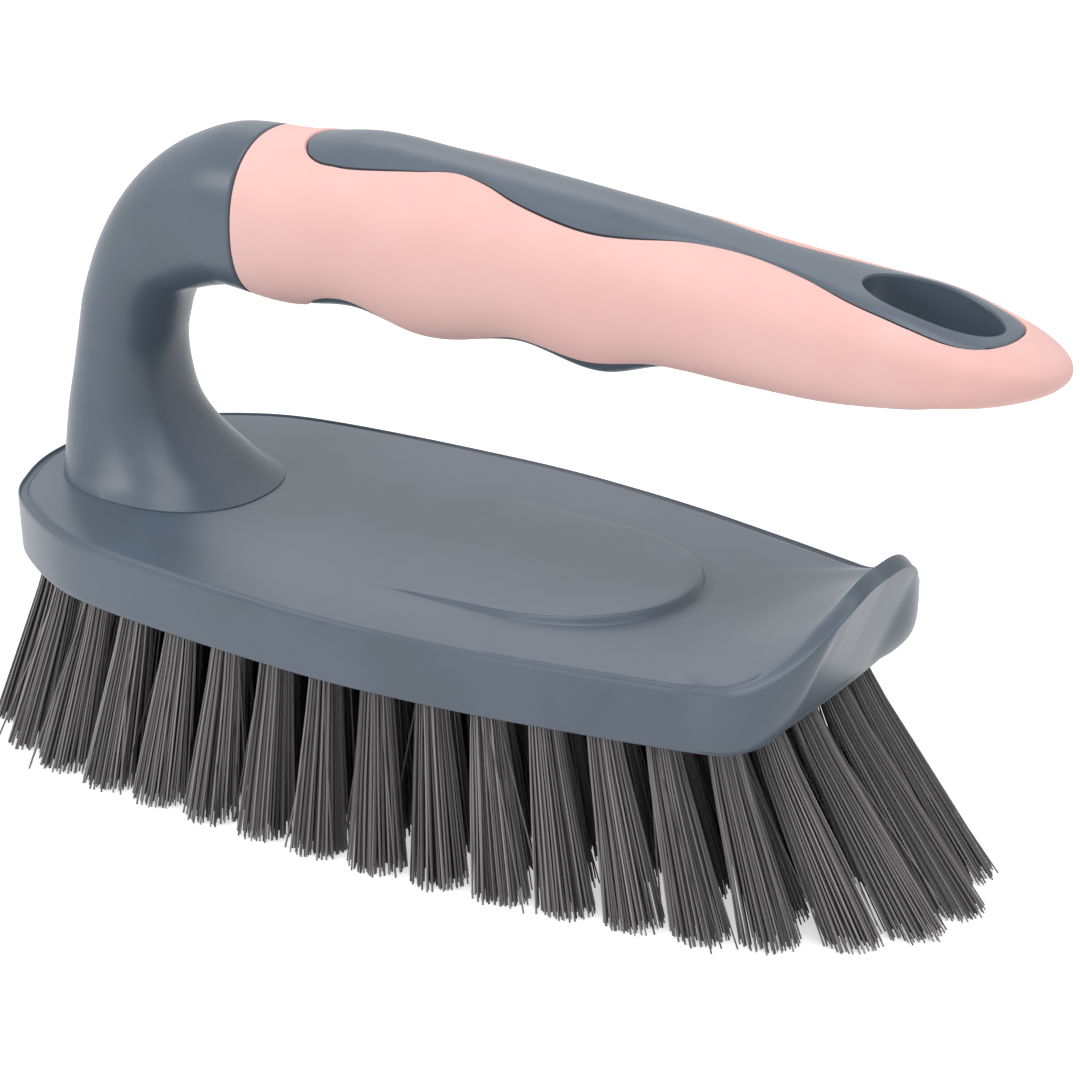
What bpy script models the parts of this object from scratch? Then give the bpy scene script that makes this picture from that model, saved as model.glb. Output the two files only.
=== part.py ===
"""Hand scrubbing brush: a plastic block with an upturned nose, an arched handle with a soft grip, and
bristle tufts set in drilled holes. Metres, +Z up, nose towards +X, standing on its bristle tips at Z = 0."""

import math

import bmesh
import bpy
from mathutils import Vector

# Brush block
BLOCK_LENGTH = 0.155
BLOCK_WIDTH = 0.0752
WALL_HEIGHT = 0.0106
WALL_DRAFT = 0.0007
BOTTOM_ROUNDING = 0.0006
EDGE_WIDTH = 0.0022
BEAD_HEIGHT = 0.0003
DECK_CROWN = 0.0001

# Half of the plan outline from the nose's middle to the rear's: share of the length, share of the half width
OUTLINE_SHARES = (
    (0.5000, 0.000),
    (0.4995, 0.210),
    (0.4982, 0.372),
    (0.4962, 0.520),
    (0.4900, 0.635),
    (0.4755, 0.710),
    (0.4480, 0.752),
    (0.3920, 0.802),
    (0.3300, 0.852),
    (0.2050, 0.940),
    (0.0900, 0.988),
    (0.0150, 1.000),
    (-0.0500, 0.993),
    (-0.1800, 0.958),
    (-0.2970, 0.898),
    (-0.3560, 0.822),
    (-0.4240, 0.650),
    (-0.4600, 0.505),
    (-0.4820, 0.310),
    (-0.4930, 0.155),
    (-0.4965, 0.000),
)

# Upturned lip on the nose
LIP_RISE = 0.0150
LIP_REACH = 0.0101
LIP_HALF_ARC = 0.0360
LIP_RIM_WIDTH = 0.0022
LIP_RIM_FALL = 0.0015
LIP_RIM_POWER = 0.5
LIP_START_SHARE = 0.66
LIP_DECK_POWER = 2.4
WALL_HEIGHT_SHARES = (0.08, 0.20, 0.36, 0.56, 0.78)

# The lip from the nose's middle to its end: share of its half arc, shares of its rise and reach, curl power
LIP_SHARES = (
    (0.000, 0.990, 0.965, 1.0),
    (0.139, 0.993, 0.995, 1.0),
    (0.250, 0.903, 0.967, 1.0),
    (0.361, 0.718, 0.847, 1.1),
    (0.472, 0.503, 0.679, 2.1),
    (0.583, 0.318, 0.507, 3.9),
    (0.694, 0.176, 0.345, 5.8),
    (0.806, 0.085, 0.180, 6.8),
    (0.917, 0.020, 0.030, 6.8),
    (1.000, 0.000, 0.000, 6.8),
)

# Rim inwards, over a bead and a groove up to the deck's edge: along the sides the share of the edge's width
# and the drop as a share of the bead's height, then in the lip's middle the shares of its rim's width and fall
RIM_SHARES = (
    (0.00, 1.0, 0.00, 1.10),
    (0.10, 0.0, 0.08, 1.00),
    (0.24, 1.0, 0.18, 0.96),
    (0.66, 1.0, 0.45, 0.50),
    (0.86, 0.2, 0.70, 0.18),
    (1.00, -0.6, 1.00, 0.00),
)

# Raised tongue-shaped platform on the deck
PLATFORM_NOSE_SETBACK = 0.0255
PLATFORM_REAR_X = 0.002
PLATFORM_ROUND_LENGTH = 0.027
PLATFORM_WIDTH = 0.0430
PLATFORM_HEIGHT = 0.0017
PLATFORM_SLOPE_WIDTH = 0.0012
PLATFORM_ROOT_DEPTH = 0.0020
PLATFORM_FOOT_SHARE = 0.4
PLATFORM_FOOT_DROP = 0.00024
PLATFORM_TOP_DROP = 0.00012

# Handle path: a post that stands on the deck, a quarter bend and a level grip
POST_REAR_SETBACK = 0.0175
BEND_RADIUS = 0.024
GRIP_AXIS_HEIGHT = 0.0643
GRIP_LENGTH = 0.153
GRIP_DEPTH = 0.0306
GRIP_WIDTH = 0.0258
POST_DEPTH = 0.0174
POST_WIDTH = 0.0206
SECTION_POWER = 2.25

# Foot of the handle and its socket in the deck
SPIGOT_LENGTH = 0.0240
SPIGOT_WIDTH = 0.0190
SPIGOT_DEPTH = 0.0030
SPIGOT_AHEAD = 0.0060

# Soft grip over the bar of the handle
SLEEVE_THICKNESS = 0.0024
COLLAR_START_SHARE = 0.0380
WINDOW_REAR_SETBACK = 0.0150
WINDOW_TIP_SETBACK = 0.0086
WINDOW_WIDTH = 0.0190

# Hanging hole through the nose end of the handle
HOLE_TIP_SETBACK = 0.0243
HOLE_LENGTH = 0.0240
HOLE_WIDTH = 0.0134
HOLE_TILT = math.radians(9.2)
ELLIPSE_POWER = 2

# Bristle tufts
TRIM_LENGTH = 0.0330
HOLE_DIAMETER = 0.0052
HOLE_DEPTH = 0.0060
OUTER_ROW_INSET = 0.0072
OUTER_TUFTS = 35
INNER_ROW_SHARE = 0.52
INNER_FIELD_SHARE = 0.683
INNER_ROWS = 3
TUFTS_IN_INNER_ROW = 7
STRANDS_IN_TUFT = 8
STRAND_THICKNESS = 0.0010
TUFT_TIP_DIAMETER = 0.0094

# Lean of the tufts at the block's ends and sides, and the wider splay at the nose, where use has spread them
NOSE_LEAN = 0.0127
REAR_LEAN = 0.0088
SIDE_LEAN = 0.00375
REAR_CORNER_LEAN = 0.0140
REAR_CORNER_POWER = 3
NOSE_SPLAY = 0.0273
SPLAY_POWER = 4
SPLAY_FALL_SHARE = 1.5
SPLAY_CENTRE_SHARE = 0.3
SPLAY_SIDE_SHARE = 0.4

# Clearances and overruns
GAP = 0.0003
OVERRUN = 0.0040

# Finishes: linear colour, then roughness
SLATE_FINISH = ((0.115, 0.140, 0.170), 0.42)
PINK_FINISH = ((0.86, 0.47, 0.43), 0.55)
FILAMENT_FINISH = ((0.085, 0.083, 0.085), 0.45)
SHARP_ANGLE = math.radians(35)

# Numbers of faces and rings
OUTLINE_POINTS = 96
OUTLINE_STEPS = 12
PLATFORM_STEPS = 20
WINDOW_STEPS = 3
HOLE_SIDES = 8
PLUG_SIDES = 6
STRAND_SIDES = 3
SECTION_SIDES = 24
DECK_SHARES = (0.92, 0.84, 0.76, 0.67, 0.50, 0.28)

# Handle stations. Post: height share from the deck to the bend, then shares of the post's depth behind and
# ahead of its axis, then of its width. Bend: share of the quarter turn, then the same. Grip: share of the
# grip's length, then shares of the grip's depth above and below its axis, of its width and of its squareness.
POST_STATION_SHARES = (
    (0.00, 0.68, 1.55, 1.63),
    (0.05, 0.68, 1.36, 1.50),
    (0.13, 0.68, 1.15, 1.38),
    (0.25, 0.67, 0.864, 1.24),
    (0.41, 0.64, 0.625, 1.12),
    (0.61, 0.58, 0.516, 1.03),
    (0.82, 0.51, 0.478, 1.00),
)
BEND_STATION_SHARES = (
    (0.00, 0.458, 0.540, 1.00),
    (0.17, 0.392, 0.600, 1.02),
    (0.34, 0.395, 0.675, 1.05),
    (0.50, 0.445, 0.790, 1.09),
    (0.66, 0.525, 0.840, 1.13),
    (0.83, 0.635, 0.860, 1.18),
)
GRIP_STATION_SHARES = (
    (0.000, 0.422, 0.485, 0.980, 1.00),
    (0.078, 0.450, 0.508, 1.000, 1.00),
    (0.169, 0.524, 0.455, 0.985, 1.00),
    (0.260, 0.515, 0.532, 0.960, 1.00),
    (0.377, 0.486, 0.435, 0.940, 1.00),
    (0.475, 0.458, 0.503, 0.920, 1.02),
    (0.558, 0.420, 0.385, 0.920, 1.05),
    (0.649, 0.368, 0.373, 0.930, 1.10),
    (0.753, 0.318, 0.350, 0.950, 1.20),
    (0.844, 0.277, 0.286, 0.985, 1.30),
    (0.922, 0.170, 0.190, 0.879, 1.30),
    (0.945, 0.149, 0.166, 0.768, 1.21),
    (0.968, 0.118, 0.132, 0.610, 1.12),
    (0.990, 0.071, 0.079, 0.367, 1.00),
)
GRIP_RINGS = 30
TIP_SETBACK_SHARE = 2.0

# Half width of the grip's grey window along its length, as shares
WINDOW_WIDTH_SHARES = (
    (0.000, 0.00),
    (0.008, 0.45),
    (0.022, 0.74),
    (0.068, 0.91),
    (0.110, 0.90),
    (0.185, 0.70),
    (0.240, 0.54),
    (0.285, 0.62),
    (0.333, 0.79),
    (0.398, 0.89),
    (0.460, 0.90),
    (0.518, 0.81),
    (0.593, 0.57),
    (0.660, 0.48),
    (0.737, 0.62),
    (0.808, 0.87),
    (0.845, 0.97),
    (0.896, 1.03),
    (0.957, 0.89),
    (0.989, 0.55),
    (1.000, 0.00),
)

# Places that follow from the sizes above
NOSE_X = BLOCK_LENGTH / 2
BLOCK_Z = TRIM_LENGTH
DECK_Z = WALL_HEIGHT - BEAD_HEIGHT * RIM_SHARES[-1][1]
FOOT_Z = DECK_Z + DECK_CROWN + GAP
PLATFORM_NOSE_X = NOSE_X - PLATFORM_NOSE_SETBACK
POST_X = POST_REAR_SETBACK - NOSE_X
SPIGOT_X = POST_X + SPIGOT_AHEAD
GRIP_START_X = POST_X + BEND_RADIUS
GRIP_TIP_X = GRIP_START_X + GRIP_LENGTH


def superellipse(share, power):
    """Signed power of a cosine or sine, the coordinate of a superellipse."""
    return math.copysign(abs(share) ** (2 / power), share)


def mix(first, second, share):
    """The value that lies a share of the way from first to second."""
    return first + (second - first) * share


def smooth_row(rows, place):
    """Catmull-Rom value of a table of rows at a place in its first column."""
    last = len(rows) - 1
    index = max(i for i in range(last) if rows[i][0] <= place or i == 0)
    start, end = rows[index], rows[index + 1]
    before, after = rows[max(index - 1, 0)], rows[min(index + 2, last)]
    span = end[0] - start[0]
    t = (place - start[0]) / span
    values = []
    for k in range(1, len(start)):
        slope_in = (end[k] - before[k]) / (end[0] - before[0])
        slope_out = (after[k] - start[k]) / (after[0] - start[0])
        values.append(
            (2 * t**3 - 3 * t**2 + 1) * start[k]
            + (t**3 - 2 * t**2 + t) * slope_in * span
            + (3 * t**2 - 2 * t**3) * end[k]
            + (t**3 - t**2) * slope_out * span
        )
    return values


def outline_curve():
    """Dense closed plan outline of the block, counter-clockwise from the nose's middle."""
    side = [(x * BLOCK_LENGTH, y * BLOCK_WIDTH / 2) for x, y in OUTLINE_SHARES]
    loop = side + [(x, -y) for x, y in side[-2:0:-1]]
    count = len(loop)
    dense = []
    for i in range(count):
        before, start = Vector(loop[i - 1]), Vector(loop[i])
        end, after = Vector(loop[(i + 1) % count]), Vector(loop[(i + 2) % count])
        for k in range(OUTLINE_STEPS):
            t = k / OUTLINE_STEPS
            dense.append(hermite(before, start, end, after, t))
    return dense


def hermite(before, start, end, after, t):
    """A point of the smooth curve from start to end whose slopes come from their neighbours."""
    span = (end - start).length
    slope_in = (end - before) * span / ((end - start).length + (start - before).length)
    slope_out = (after - start) * span / ((after - end).length + (end - start).length)
    return (
        start * (2 * t**3 - 3 * t**2 + 1)
        + slope_in * (t**3 - 2 * t**2 + t)
        + end * (3 * t**2 - 2 * t**3)
        + slope_out * (t**3 - t**2)
    )


def resample(points, count):
    """A closed run of plan points, spaced evenly, with outward normals and distances from its first point."""
    loop = points + [points[0]]
    along = [0.0]
    for a, b in zip(loop, loop[1:]):
        along.append(along[-1] + (b - a).length)
    spaced, index = [], 0
    for k in range(count):
        goal = along[-1] * k / count
        while along[index + 1] < goal:
            index += 1
        share = (goal - along[index]) / (along[index + 1] - along[index])
        run = loop[index + 1] - points[index - 1]
        normal = Vector((run.y, -run.x)).normalized()
        spaced.append((loop[index].lerp(loop[index + 1], share), normal, min(goal, along[-1] - goal)))
    return spaced


def lip_row(distance):
    """Shares of the lip's rise and reach, and the power of its curl, at a distance from the nose's middle."""
    return smooth_row(LIP_SHARES, min(1, distance / LIP_HALF_ARC))


def draft(normal, reach):
    """How far the side wall leans out at its top, which fades at the rear and where the lip reaches out."""
    return WALL_DRAFT * abs(normal.y) * (1 - reach)


def crown(y):
    """Height of the deck's crown across the block."""
    return DECK_CROWN * (1 - (2 * y / BLOCK_WIDTH) ** 2)


def wall_ring(height_share, inset=0.0, lift=0.0):
    """A ring of the block's side wall, up to where its rim starts, curling out at the lip."""
    _, bead_drop, _, lip_drop = RIM_SHARES[0]
    ring = []
    for place, normal, distance in resample(outline_curve(), OUTLINE_POINTS):
        rise, reach, curl = lip_row(distance)
        lean = LIP_REACH * reach * (1 - (1 - height_share) ** curl) + draft(normal, reach) * height_share
        rim = max(0, rise) ** LIP_RIM_POWER
        top = WALL_HEIGHT + LIP_RISE * rise - mix(BEAD_HEIGHT * bead_drop, LIP_RIM_FALL * lip_drop, rim)
        x, y = place + normal * (lean - inset)
        ring.append(Vector((x, y, BLOCK_Z + top * height_share + lift)))
    return ring


def rim_ring(bead_inset, bead_drop, lip_inset, lip_drop):
    """A ring of the rim: a bead and a groove along the sides, which widen into the lip's rounded edge."""
    ring = []
    for place, normal, distance in resample(outline_curve(), OUTLINE_POINTS):
        rise, reach, _ = lip_row(distance)
        rim = max(0, rise) ** LIP_RIM_POWER
        inset = mix(EDGE_WIDTH * bead_inset, LIP_RIM_WIDTH * lip_inset, rim)
        drop = mix(BEAD_HEIGHT * bead_drop, LIP_RIM_FALL * lip_drop, rim)
        x, y = place + normal * (LIP_REACH * reach + draft(normal, reach) - inset)
        ring.append(Vector((x, y, BLOCK_Z + WALL_HEIGHT + LIP_RISE * rise - drop)))
    return ring


def deck_ring(rim, share):
    """A ring of the deck inside the bead, easing down from the lip to the crowned deck."""
    ring = []
    for point in rim:
        x, y = point.x * share, point.y * share
        lip = point.z - BLOCK_Z - DECK_Z
        ease = max(0.0, (share - LIP_START_SHARE) / (1 - LIP_START_SHARE))
        height = DECK_Z + crown(y) + lip * ease**LIP_DECK_POWER
        ring.append(Vector((x, y, BLOCK_Z + height)))
    return ring


def mesh_object(name, mesh, collection):
    obj = bpy.data.objects.new(name, mesh)
    collection.objects.link(obj)
    return obj


def loft(name, rings, collection):
    """A closed body through rings of equal count. A ring of one point closes that end to a point."""
    bm = bmesh.new()
    levels = [[bm.verts.new(point) for point in ring] for ring in rings]
    for low, high in zip(levels, levels[1:]):
        count = max(len(low), len(high))
        for i in range(count):
            j = (i + 1) % count
            corners = [low[i % len(low)], low[j % len(low)], high[j % len(high)], high[i % len(high)]]
            bm.faces.new(list(dict.fromkeys(corners)))
    for level in (levels[0], levels[-1]):
        if len(level) > 1:
            bm.faces.new(level)
    return from_bmesh(name, bm, collection)


def add_cylinder(bm, radius, low, high, place, sides):
    """Adds an upright cylinder between two heights to a mesh in the making."""
    made = bmesh.ops.create_cone(
        bm, cap_ends=True, segments=sides, radius1=radius, radius2=radius, depth=high - low
    )
    centre = Vector((place[0], place[1], mix(low, high, 1 / 2)))
    bmesh.ops.translate(bm, verts=made["verts"], vec=centre)


def from_bmesh(name, bm, collection):
    """Closes a mesh in the making and puts it in an object."""
    bmesh.ops.recalc_face_normals(bm, faces=bm.faces)
    mesh = bpy.data.meshes.new(name)
    bm.to_mesh(mesh)
    bm.free()
    return mesh_object(name, mesh, collection)


def prism(name, outline, low, high, collection):
    """An upright prism on a closed plan outline."""
    rings = [[Vector((x, y, z)) for x, y in outline] for z in (low, high)]
    return loft(name, rings, collection)


def boolean(obj, other, operation):
    """Joins a helper to an object, or cuts it out, and applies the result."""
    modifier = obj.modifiers.new(operation.title(), "BOOLEAN")
    modifier.operation = operation
    modifier.solver = "EXACT"
    modifier.object = other
    graph = bpy.context.evaluated_depsgraph_get()
    result = bpy.data.meshes.new_from_object(obj.evaluated_get(graph))
    obj.modifiers.clear()
    obj.data = result
    return obj


def drop_object(obj):
    bpy.data.objects.remove(obj, do_unlink=True)


def oval(x, y, length, width, power, count):
    """A closed superellipse in plan."""
    points = []
    for k in range(count):
        turn = 2 * math.pi * k / count
        points.append(
            (
                x + length / 2 * superellipse(math.cos(turn), power),
                y + width / 2 * superellipse(math.sin(turn), power),
            )
        )
    return points


def platform_outline(inset):
    """The tongue: straight sides that end in a half ellipse towards the nose."""
    centre = PLATFORM_NOSE_X - PLATFORM_ROUND_LENGTH
    half = PLATFORM_WIDTH / 2 - inset
    round_length = PLATFORM_ROUND_LENGTH - inset
    points = [(PLATFORM_REAR_X + inset, -half)]
    for k in range(PLATFORM_STEPS + 1):
        turn = math.pi * (k / PLATFORM_STEPS - 1 / 2)
        points.append((centre + round_length * math.cos(turn), half * math.sin(turn)))
    points.append((PLATFORM_REAR_X + inset, half))
    return points


def platform_ring(inset, rise_share, drop):
    """A ring of the platform's wedge, which rises from the deck towards the nose."""
    span = PLATFORM_NOSE_X - PLATFORM_REAR_X
    ring = []
    for x, y in platform_outline(inset):
        rise = PLATFORM_HEIGHT * rise_share * (x - PLATFORM_REAR_X) / span
        ring.append(Vector((x, y, BLOCK_Z + DECK_Z + crown(y) + rise - drop)))
    return ring


def platform_rings():
    """The platform's buried root, its foot on the deck and its top."""
    return [
        platform_ring(0, 0, PLATFORM_ROOT_DEPTH),
        platform_ring(0, PLATFORM_FOOT_SHARE, PLATFORM_FOOT_DROP),
        platform_ring(PLATFORM_SLOPE_WIDTH, 1, PLATFORM_TOP_DROP),
    ]


def tuft_lean(x, y):
    """How far a tuft's tip stands out from its root, along and across the block."""
    along = 2 * x / BLOCK_LENGTH
    across = 2 * y / BLOCK_WIDTH
    if along < 0:
        side = SIDE_LEAN + REAR_CORNER_LEAN * abs(along) ** REAR_CORNER_POWER
        return REAR_LEAN * along, side * across
    fall = SPLAY_FALL_SHARE * (across - SPLAY_CENTRE_SHARE) ** 2
    splay = NOSE_SPLAY * along**SPLAY_POWER * max(0, 1 - fall)
    return NOSE_LEAN * along + splay, SIDE_LEAN * across - SPLAY_SIDE_SHARE * splay


def tuft_places():
    """Root place and tip offset of every tuft: one row along the outline and the rows inside it."""
    shrink_x = 1 - 2 * OUTER_ROW_INSET / BLOCK_LENGTH
    shrink_y = 1 - 2 * OUTER_ROW_INSET / BLOCK_WIDTH
    row = [Vector((place.x * shrink_x, place.y * shrink_y)) for place in outline_curve()]
    roots = [tuple(place) for place, _, _ in resample(row, OUTER_TUFTS)]
    reach_x = INNER_FIELD_SHARE * (BLOCK_LENGTH / 2 - OUTER_ROW_INSET)
    reach_y = INNER_ROW_SHARE * (BLOCK_WIDTH / 2 - OUTER_ROW_INSET)
    for row in range(INNER_ROWS):
        y = mix(-reach_y, reach_y, row / (INNER_ROWS - 1))
        for k in range(TUFTS_IN_INNER_ROW):
            x = mix(-reach_x, reach_x, k / (TUFTS_IN_INNER_ROW - 1))
            roots.append((x, y))
    return [(x, y, *tuft_lean(x, y)) for x, y in roots]


def spigot_outline(margin):
    """Plan outline of the spigot under the handle's foot, grown by a margin."""
    return oval(
        SPIGOT_X,
        0,
        SPIGOT_LENGTH + 2 * margin,
        SPIGOT_WIDTH + 2 * margin,
        SECTION_POWER,
        SECTION_SIDES,
    )


def make_block(parts, cutters):
    """Block with its bead, lip, deck and platform, drilled from below and socketed for the handle."""
    rings = [wall_ring(0, BOTTOM_ROUNDING), wall_ring(0, lift=BOTTOM_ROUNDING)]
    rings += [wall_ring(share) for share in WALL_HEIGHT_SHARES]
    rings += [rim_ring(*shares) for shares in RIM_SHARES]
    rim = rings[-1]
    rings += [deck_ring(rim, share) for share in DECK_SHARES]
    rings.append([Vector((0, 0, BLOCK_Z + DECK_Z + DECK_CROWN))])
    block = loft("brush_block", rings, parts)
    platform = loft("platform", platform_rings(), cutters)
    boolean(block, platform, "UNION")
    drop_object(platform)
    bores = bmesh.new()
    for x, y, _, _ in tuft_places():
        low, high = BLOCK_Z - OVERRUN, BLOCK_Z + HOLE_DEPTH
        add_cylinder(bores, HOLE_DIAMETER / 2, low, high, (x, y), HOLE_SIDES)
    drills = from_bmesh("drills", bores, cutters)
    boolean(block, drills, "DIFFERENCE")
    drop_object(drills)
    socket = prism(
        "socket",
        spigot_outline(GAP),
        BLOCK_Z + FOOT_Z - GAP - SPIGOT_DEPTH - GAP,
        BLOCK_Z + FOOT_Z + OVERRUN,
        cutters,
    )
    boolean(block, socket, "DIFFERENCE")
    drop_object(socket)
    return block


def section(origin, up, above, below, half_width, power):
    """One ring of the handle round an axis point: depths above and below it along up, and a half width."""
    half_depth = (above + below) / 2
    centre = origin + up * (above - below) / 2
    ring = []
    for k in range(SECTION_SIDES):
        turn = 2 * math.pi * (k + 1 / 2) / SECTION_SIDES
        rise = half_depth * superellipse(math.sin(turn), power)
        side = half_width * superellipse(math.cos(turn), power)
        ring.append(centre + up * rise + Vector((0, side, 0)))
    return ring


def post_rings():
    """Rings of the flared foot and the post, from the deck up."""
    top = GRIP_AXIS_HEIGHT - BEND_RADIUS
    rings = []
    for height_share, behind, ahead, width in POST_STATION_SHARES:
        origin = Vector((POST_X, 0, BLOCK_Z + mix(FOOT_Z, top, height_share)))
        rings.append(
            section(
                origin,
                Vector((-1, 0, 0)),
                POST_DEPTH * behind,
                POST_DEPTH * ahead,
                POST_WIDTH / 2 * width,
                SECTION_POWER,
            )
        )
    return rings


def bend_rings():
    """Rings of the quarter bend between the post and the grip."""
    centre = Vector((GRIP_START_X, 0, BLOCK_Z + GRIP_AXIS_HEIGHT - BEND_RADIUS))
    rings = []
    for turn_share, behind, ahead, width in BEND_STATION_SHARES:
        turn = math.pi / 2 * turn_share
        up = Vector((-math.cos(turn), 0, math.sin(turn)))
        rings.append(
            section(
                centre + up * BEND_RADIUS,
                up,
                POST_DEPTH * behind,
                POST_DEPTH * ahead,
                POST_WIDTH / 2 * width,
                SECTION_POWER,
            )
        )
    return rings


def grip_ring(share, inset):
    """One ring of the grip at a share of its length, drawn in by an inset."""
    above, below, width, squareness = smooth_row(GRIP_STATION_SHARES, share)
    origin = Vector((GRIP_START_X + GRIP_LENGTH * share, 0, BLOCK_Z + GRIP_AXIS_HEIGHT))
    return section(
        origin,
        Vector((0, 0, 1)),
        GRIP_DEPTH * above - inset,
        GRIP_DEPTH * below - inset,
        GRIP_WIDTH / 2 * width - inset,
        SECTION_POWER * squareness,
    )


def grip_rings(start, inset):
    """Rings of the grip from a share of its length to its closed tip, drawn in by an inset."""
    last = GRIP_STATION_SHARES[-1][0]
    end = last - TIP_SETBACK_SHARE * inset / GRIP_LENGTH
    rings = []
    for k in range(GRIP_RINGS + 1):
        share = mix(start, end, k / GRIP_RINGS)
        rings.append(grip_ring(share, inset))
    rings.append([Vector((GRIP_TIP_X - inset, 0, BLOCK_Z + GRIP_AXIS_HEIGHT))])
    return rings


def window_outline(inset):
    """Plan outline of the grey window in the grip, drawn in by an inset."""
    rows = WINDOW_WIDTH_SHARES
    rear = GRIP_START_X + WINDOW_REAR_SETBACK + inset
    nose = GRIP_TIP_X - WINDOW_TIP_SETBACK - inset
    near, far = [], []
    places = []
    for (a, _), (b, _) in zip(rows, rows[1:]):
        places += [mix(a, b, k / WINDOW_STEPS) for k in range(WINDOW_STEPS)]
    for place in places[1:]:
        half = WINDOW_WIDTH / 2 * smooth_row(rows, place)[0] - inset
        x = mix(rear, nose, place)
        if half > GAP:
            near.append((x, -half))
            far.append((x, half))
    return [(rear, 0)] + near + [(nose, 0)] + far[::-1]


def window_prisms(inset, cutters):
    """The two windows, above and below the grip's axis."""
    axis = BLOCK_Z + GRIP_AXIS_HEIGHT
    outline = window_outline(inset)
    upper = prism("window_top", outline, axis + inset, axis + GRIP_DEPTH, cutters)
    lower = prism("window_under", outline, axis - GRIP_DEPTH, axis - inset, cutters)
    return upper, lower


def hanging_hole(margin, cutters):
    """Cutter of the hanging hole, square to the sloping top of the grip's end."""
    outline = oval(0, 0, HOLE_LENGTH + 2 * margin, HOLE_WIDTH + 2 * margin, ELLIPSE_POWER, SECTION_SIDES)
    centre = Vector((GRIP_TIP_X - HOLE_TIP_SETBACK, 0, BLOCK_Z + GRIP_AXIS_HEIGHT))
    across = Vector((math.cos(HOLE_TILT), 0, -math.sin(HOLE_TILT)))
    up = Vector((math.sin(HOLE_TILT), 0, math.cos(HOLE_TILT)))
    rings = []
    for height in (-GRIP_DEPTH, GRIP_DEPTH):
        rings.append([centre + across * x + Vector((0, y, 0)) + up * height for x, y in outline])
    return loft("hanging_hole", rings, cutters)


def make_handle(parts, cutters):
    """Foot with spigot, post, bend and the bar, whose two strips lie flush in the grip's windows."""
    collar = COLLAR_START_SHARE
    inset = SLEEVE_THICKNESS + GAP
    rings = post_rings() + bend_rings() + [grip_ring(0, 0), grip_ring(collar, 0)]
    handle = loft("handle_arm", rings, parts)
    spigot = prism(
        "spigot",
        spigot_outline(0),
        BLOCK_Z + FOOT_Z - GAP - SPIGOT_DEPTH,
        BLOCK_Z + FOOT_Z + OVERRUN,
        cutters,
    )
    bar = loft("bar", grip_rings(0, inset), cutters)
    boolean(handle, spigot, "UNION")
    boolean(handle, bar, "UNION")
    for window in window_prisms(GAP, cutters):
        whole = loft("grip_envelope", grip_rings(collar, 0), cutters)
        boolean(window, whole, "INTERSECT")
        boolean(handle, window, "UNION")
        drop_object(whole)
        drop_object(window)
    hole = hanging_hole(0, cutters)
    boolean(handle, hole, "DIFFERENCE")
    for helper in (spigot, bar, hole):
        drop_object(helper)
    return handle


def make_sleeve(parts, cutters):
    """Soft grip: the envelope of the grip less the bar, less the two windows."""
    start = COLLAR_START_SHARE + GAP / GRIP_LENGTH
    sleeve = loft("grip_sleeve", grip_rings(start, 0), parts)
    core = loft("core", grip_rings(0, SLEEVE_THICKNESS), cutters)
    boolean(sleeve, core, "DIFFERENCE")
    drop_object(core)
    for window in window_prisms(0, cutters):
        boolean(sleeve, window, "DIFFERENCE")
        drop_object(window)
    return sleeve


def strand(bm, root, tip, turn):
    """Three-sided strand between two level ends."""
    levels = []
    for end in (root, tip):
        level = []
        for k in range(STRAND_SIDES):
            angle = turn + 2 * math.pi * k / STRAND_SIDES
            spoke = Vector((math.cos(angle), math.sin(angle), 0))
            level.append(bm.verts.new(end + spoke * STRAND_THICKNESS / 2))
        levels.append(level)
    for k in range(STRAND_SIDES):
        j = (k + 1) % STRAND_SIDES
        bm.faces.new((levels[0][k], levels[0][j], levels[1][j], levels[1][k]))
    bm.faces.new(levels[0])
    bm.faces.new(levels[1])


def strand_places():
    """Places of a tuft's strands as shares of its radius: one in the middle and a ring round it."""
    places = [(0.0, 0.0, 0.0)]
    ring = STRANDS_IN_TUFT - 1
    for k in range(ring):
        turn = 2 * math.pi * k / ring
        places.append((math.cos(turn), math.sin(turn), turn))
    return places


def make_tuft(number, place, parts, cutters):
    """A tuft: the plug that fills its drilled hole, and strands that fan out to the trim plane."""
    x, y, lean_x, lean_y = place
    plug_radius = HOLE_DIAMETER / 2 - GAP
    name = f"tuft_{number:02d}"
    core = bmesh.new()
    top = BLOCK_Z + HOLE_DEPTH - GAP
    add_cylinder(core, plug_radius, BLOCK_Z, top, (x, y), PLUG_SIDES)
    plug = from_bmesh(name, core, parts)
    root_radius = plug_radius * math.cos(math.pi / PLUG_SIDES) - STRAND_THICKNESS / 2 - GAP / 2
    tip_radius = TUFT_TIP_DIAMETER / 2 - STRAND_THICKNESS / 2
    sink = STRAND_THICKNESS / 2
    bm = bmesh.new()
    for share_x, share_y, turn in strand_places():
        root = Vector((x + root_radius * share_x, y + root_radius * share_y, BLOCK_Z))
        tip = Vector((x + lean_x + tip_radius * share_x, y + lean_y + tip_radius * share_y, 0))
        above = root + (root - tip) * sink / TRIM_LENGTH
        strand(bm, above, tip, turn)
    strands = from_bmesh("strands", bm, cutters)
    boolean(plug, strands, "UNION")
    drop_object(strands)
    return plug


def material(name, colour, roughness):
    """A plain Principled finish."""
    made = bpy.data.materials.new(name)
    made.use_nodes = True
    shader = made.node_tree.nodes["Principled BSDF"]
    shader.inputs["Base Color"].default_value = (*colour, 1)
    shader.inputs["Roughness"].default_value = roughness
    shader.inputs["Metallic"].default_value = 0
    made.diffuse_color = (*colour, 1)
    return made


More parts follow.
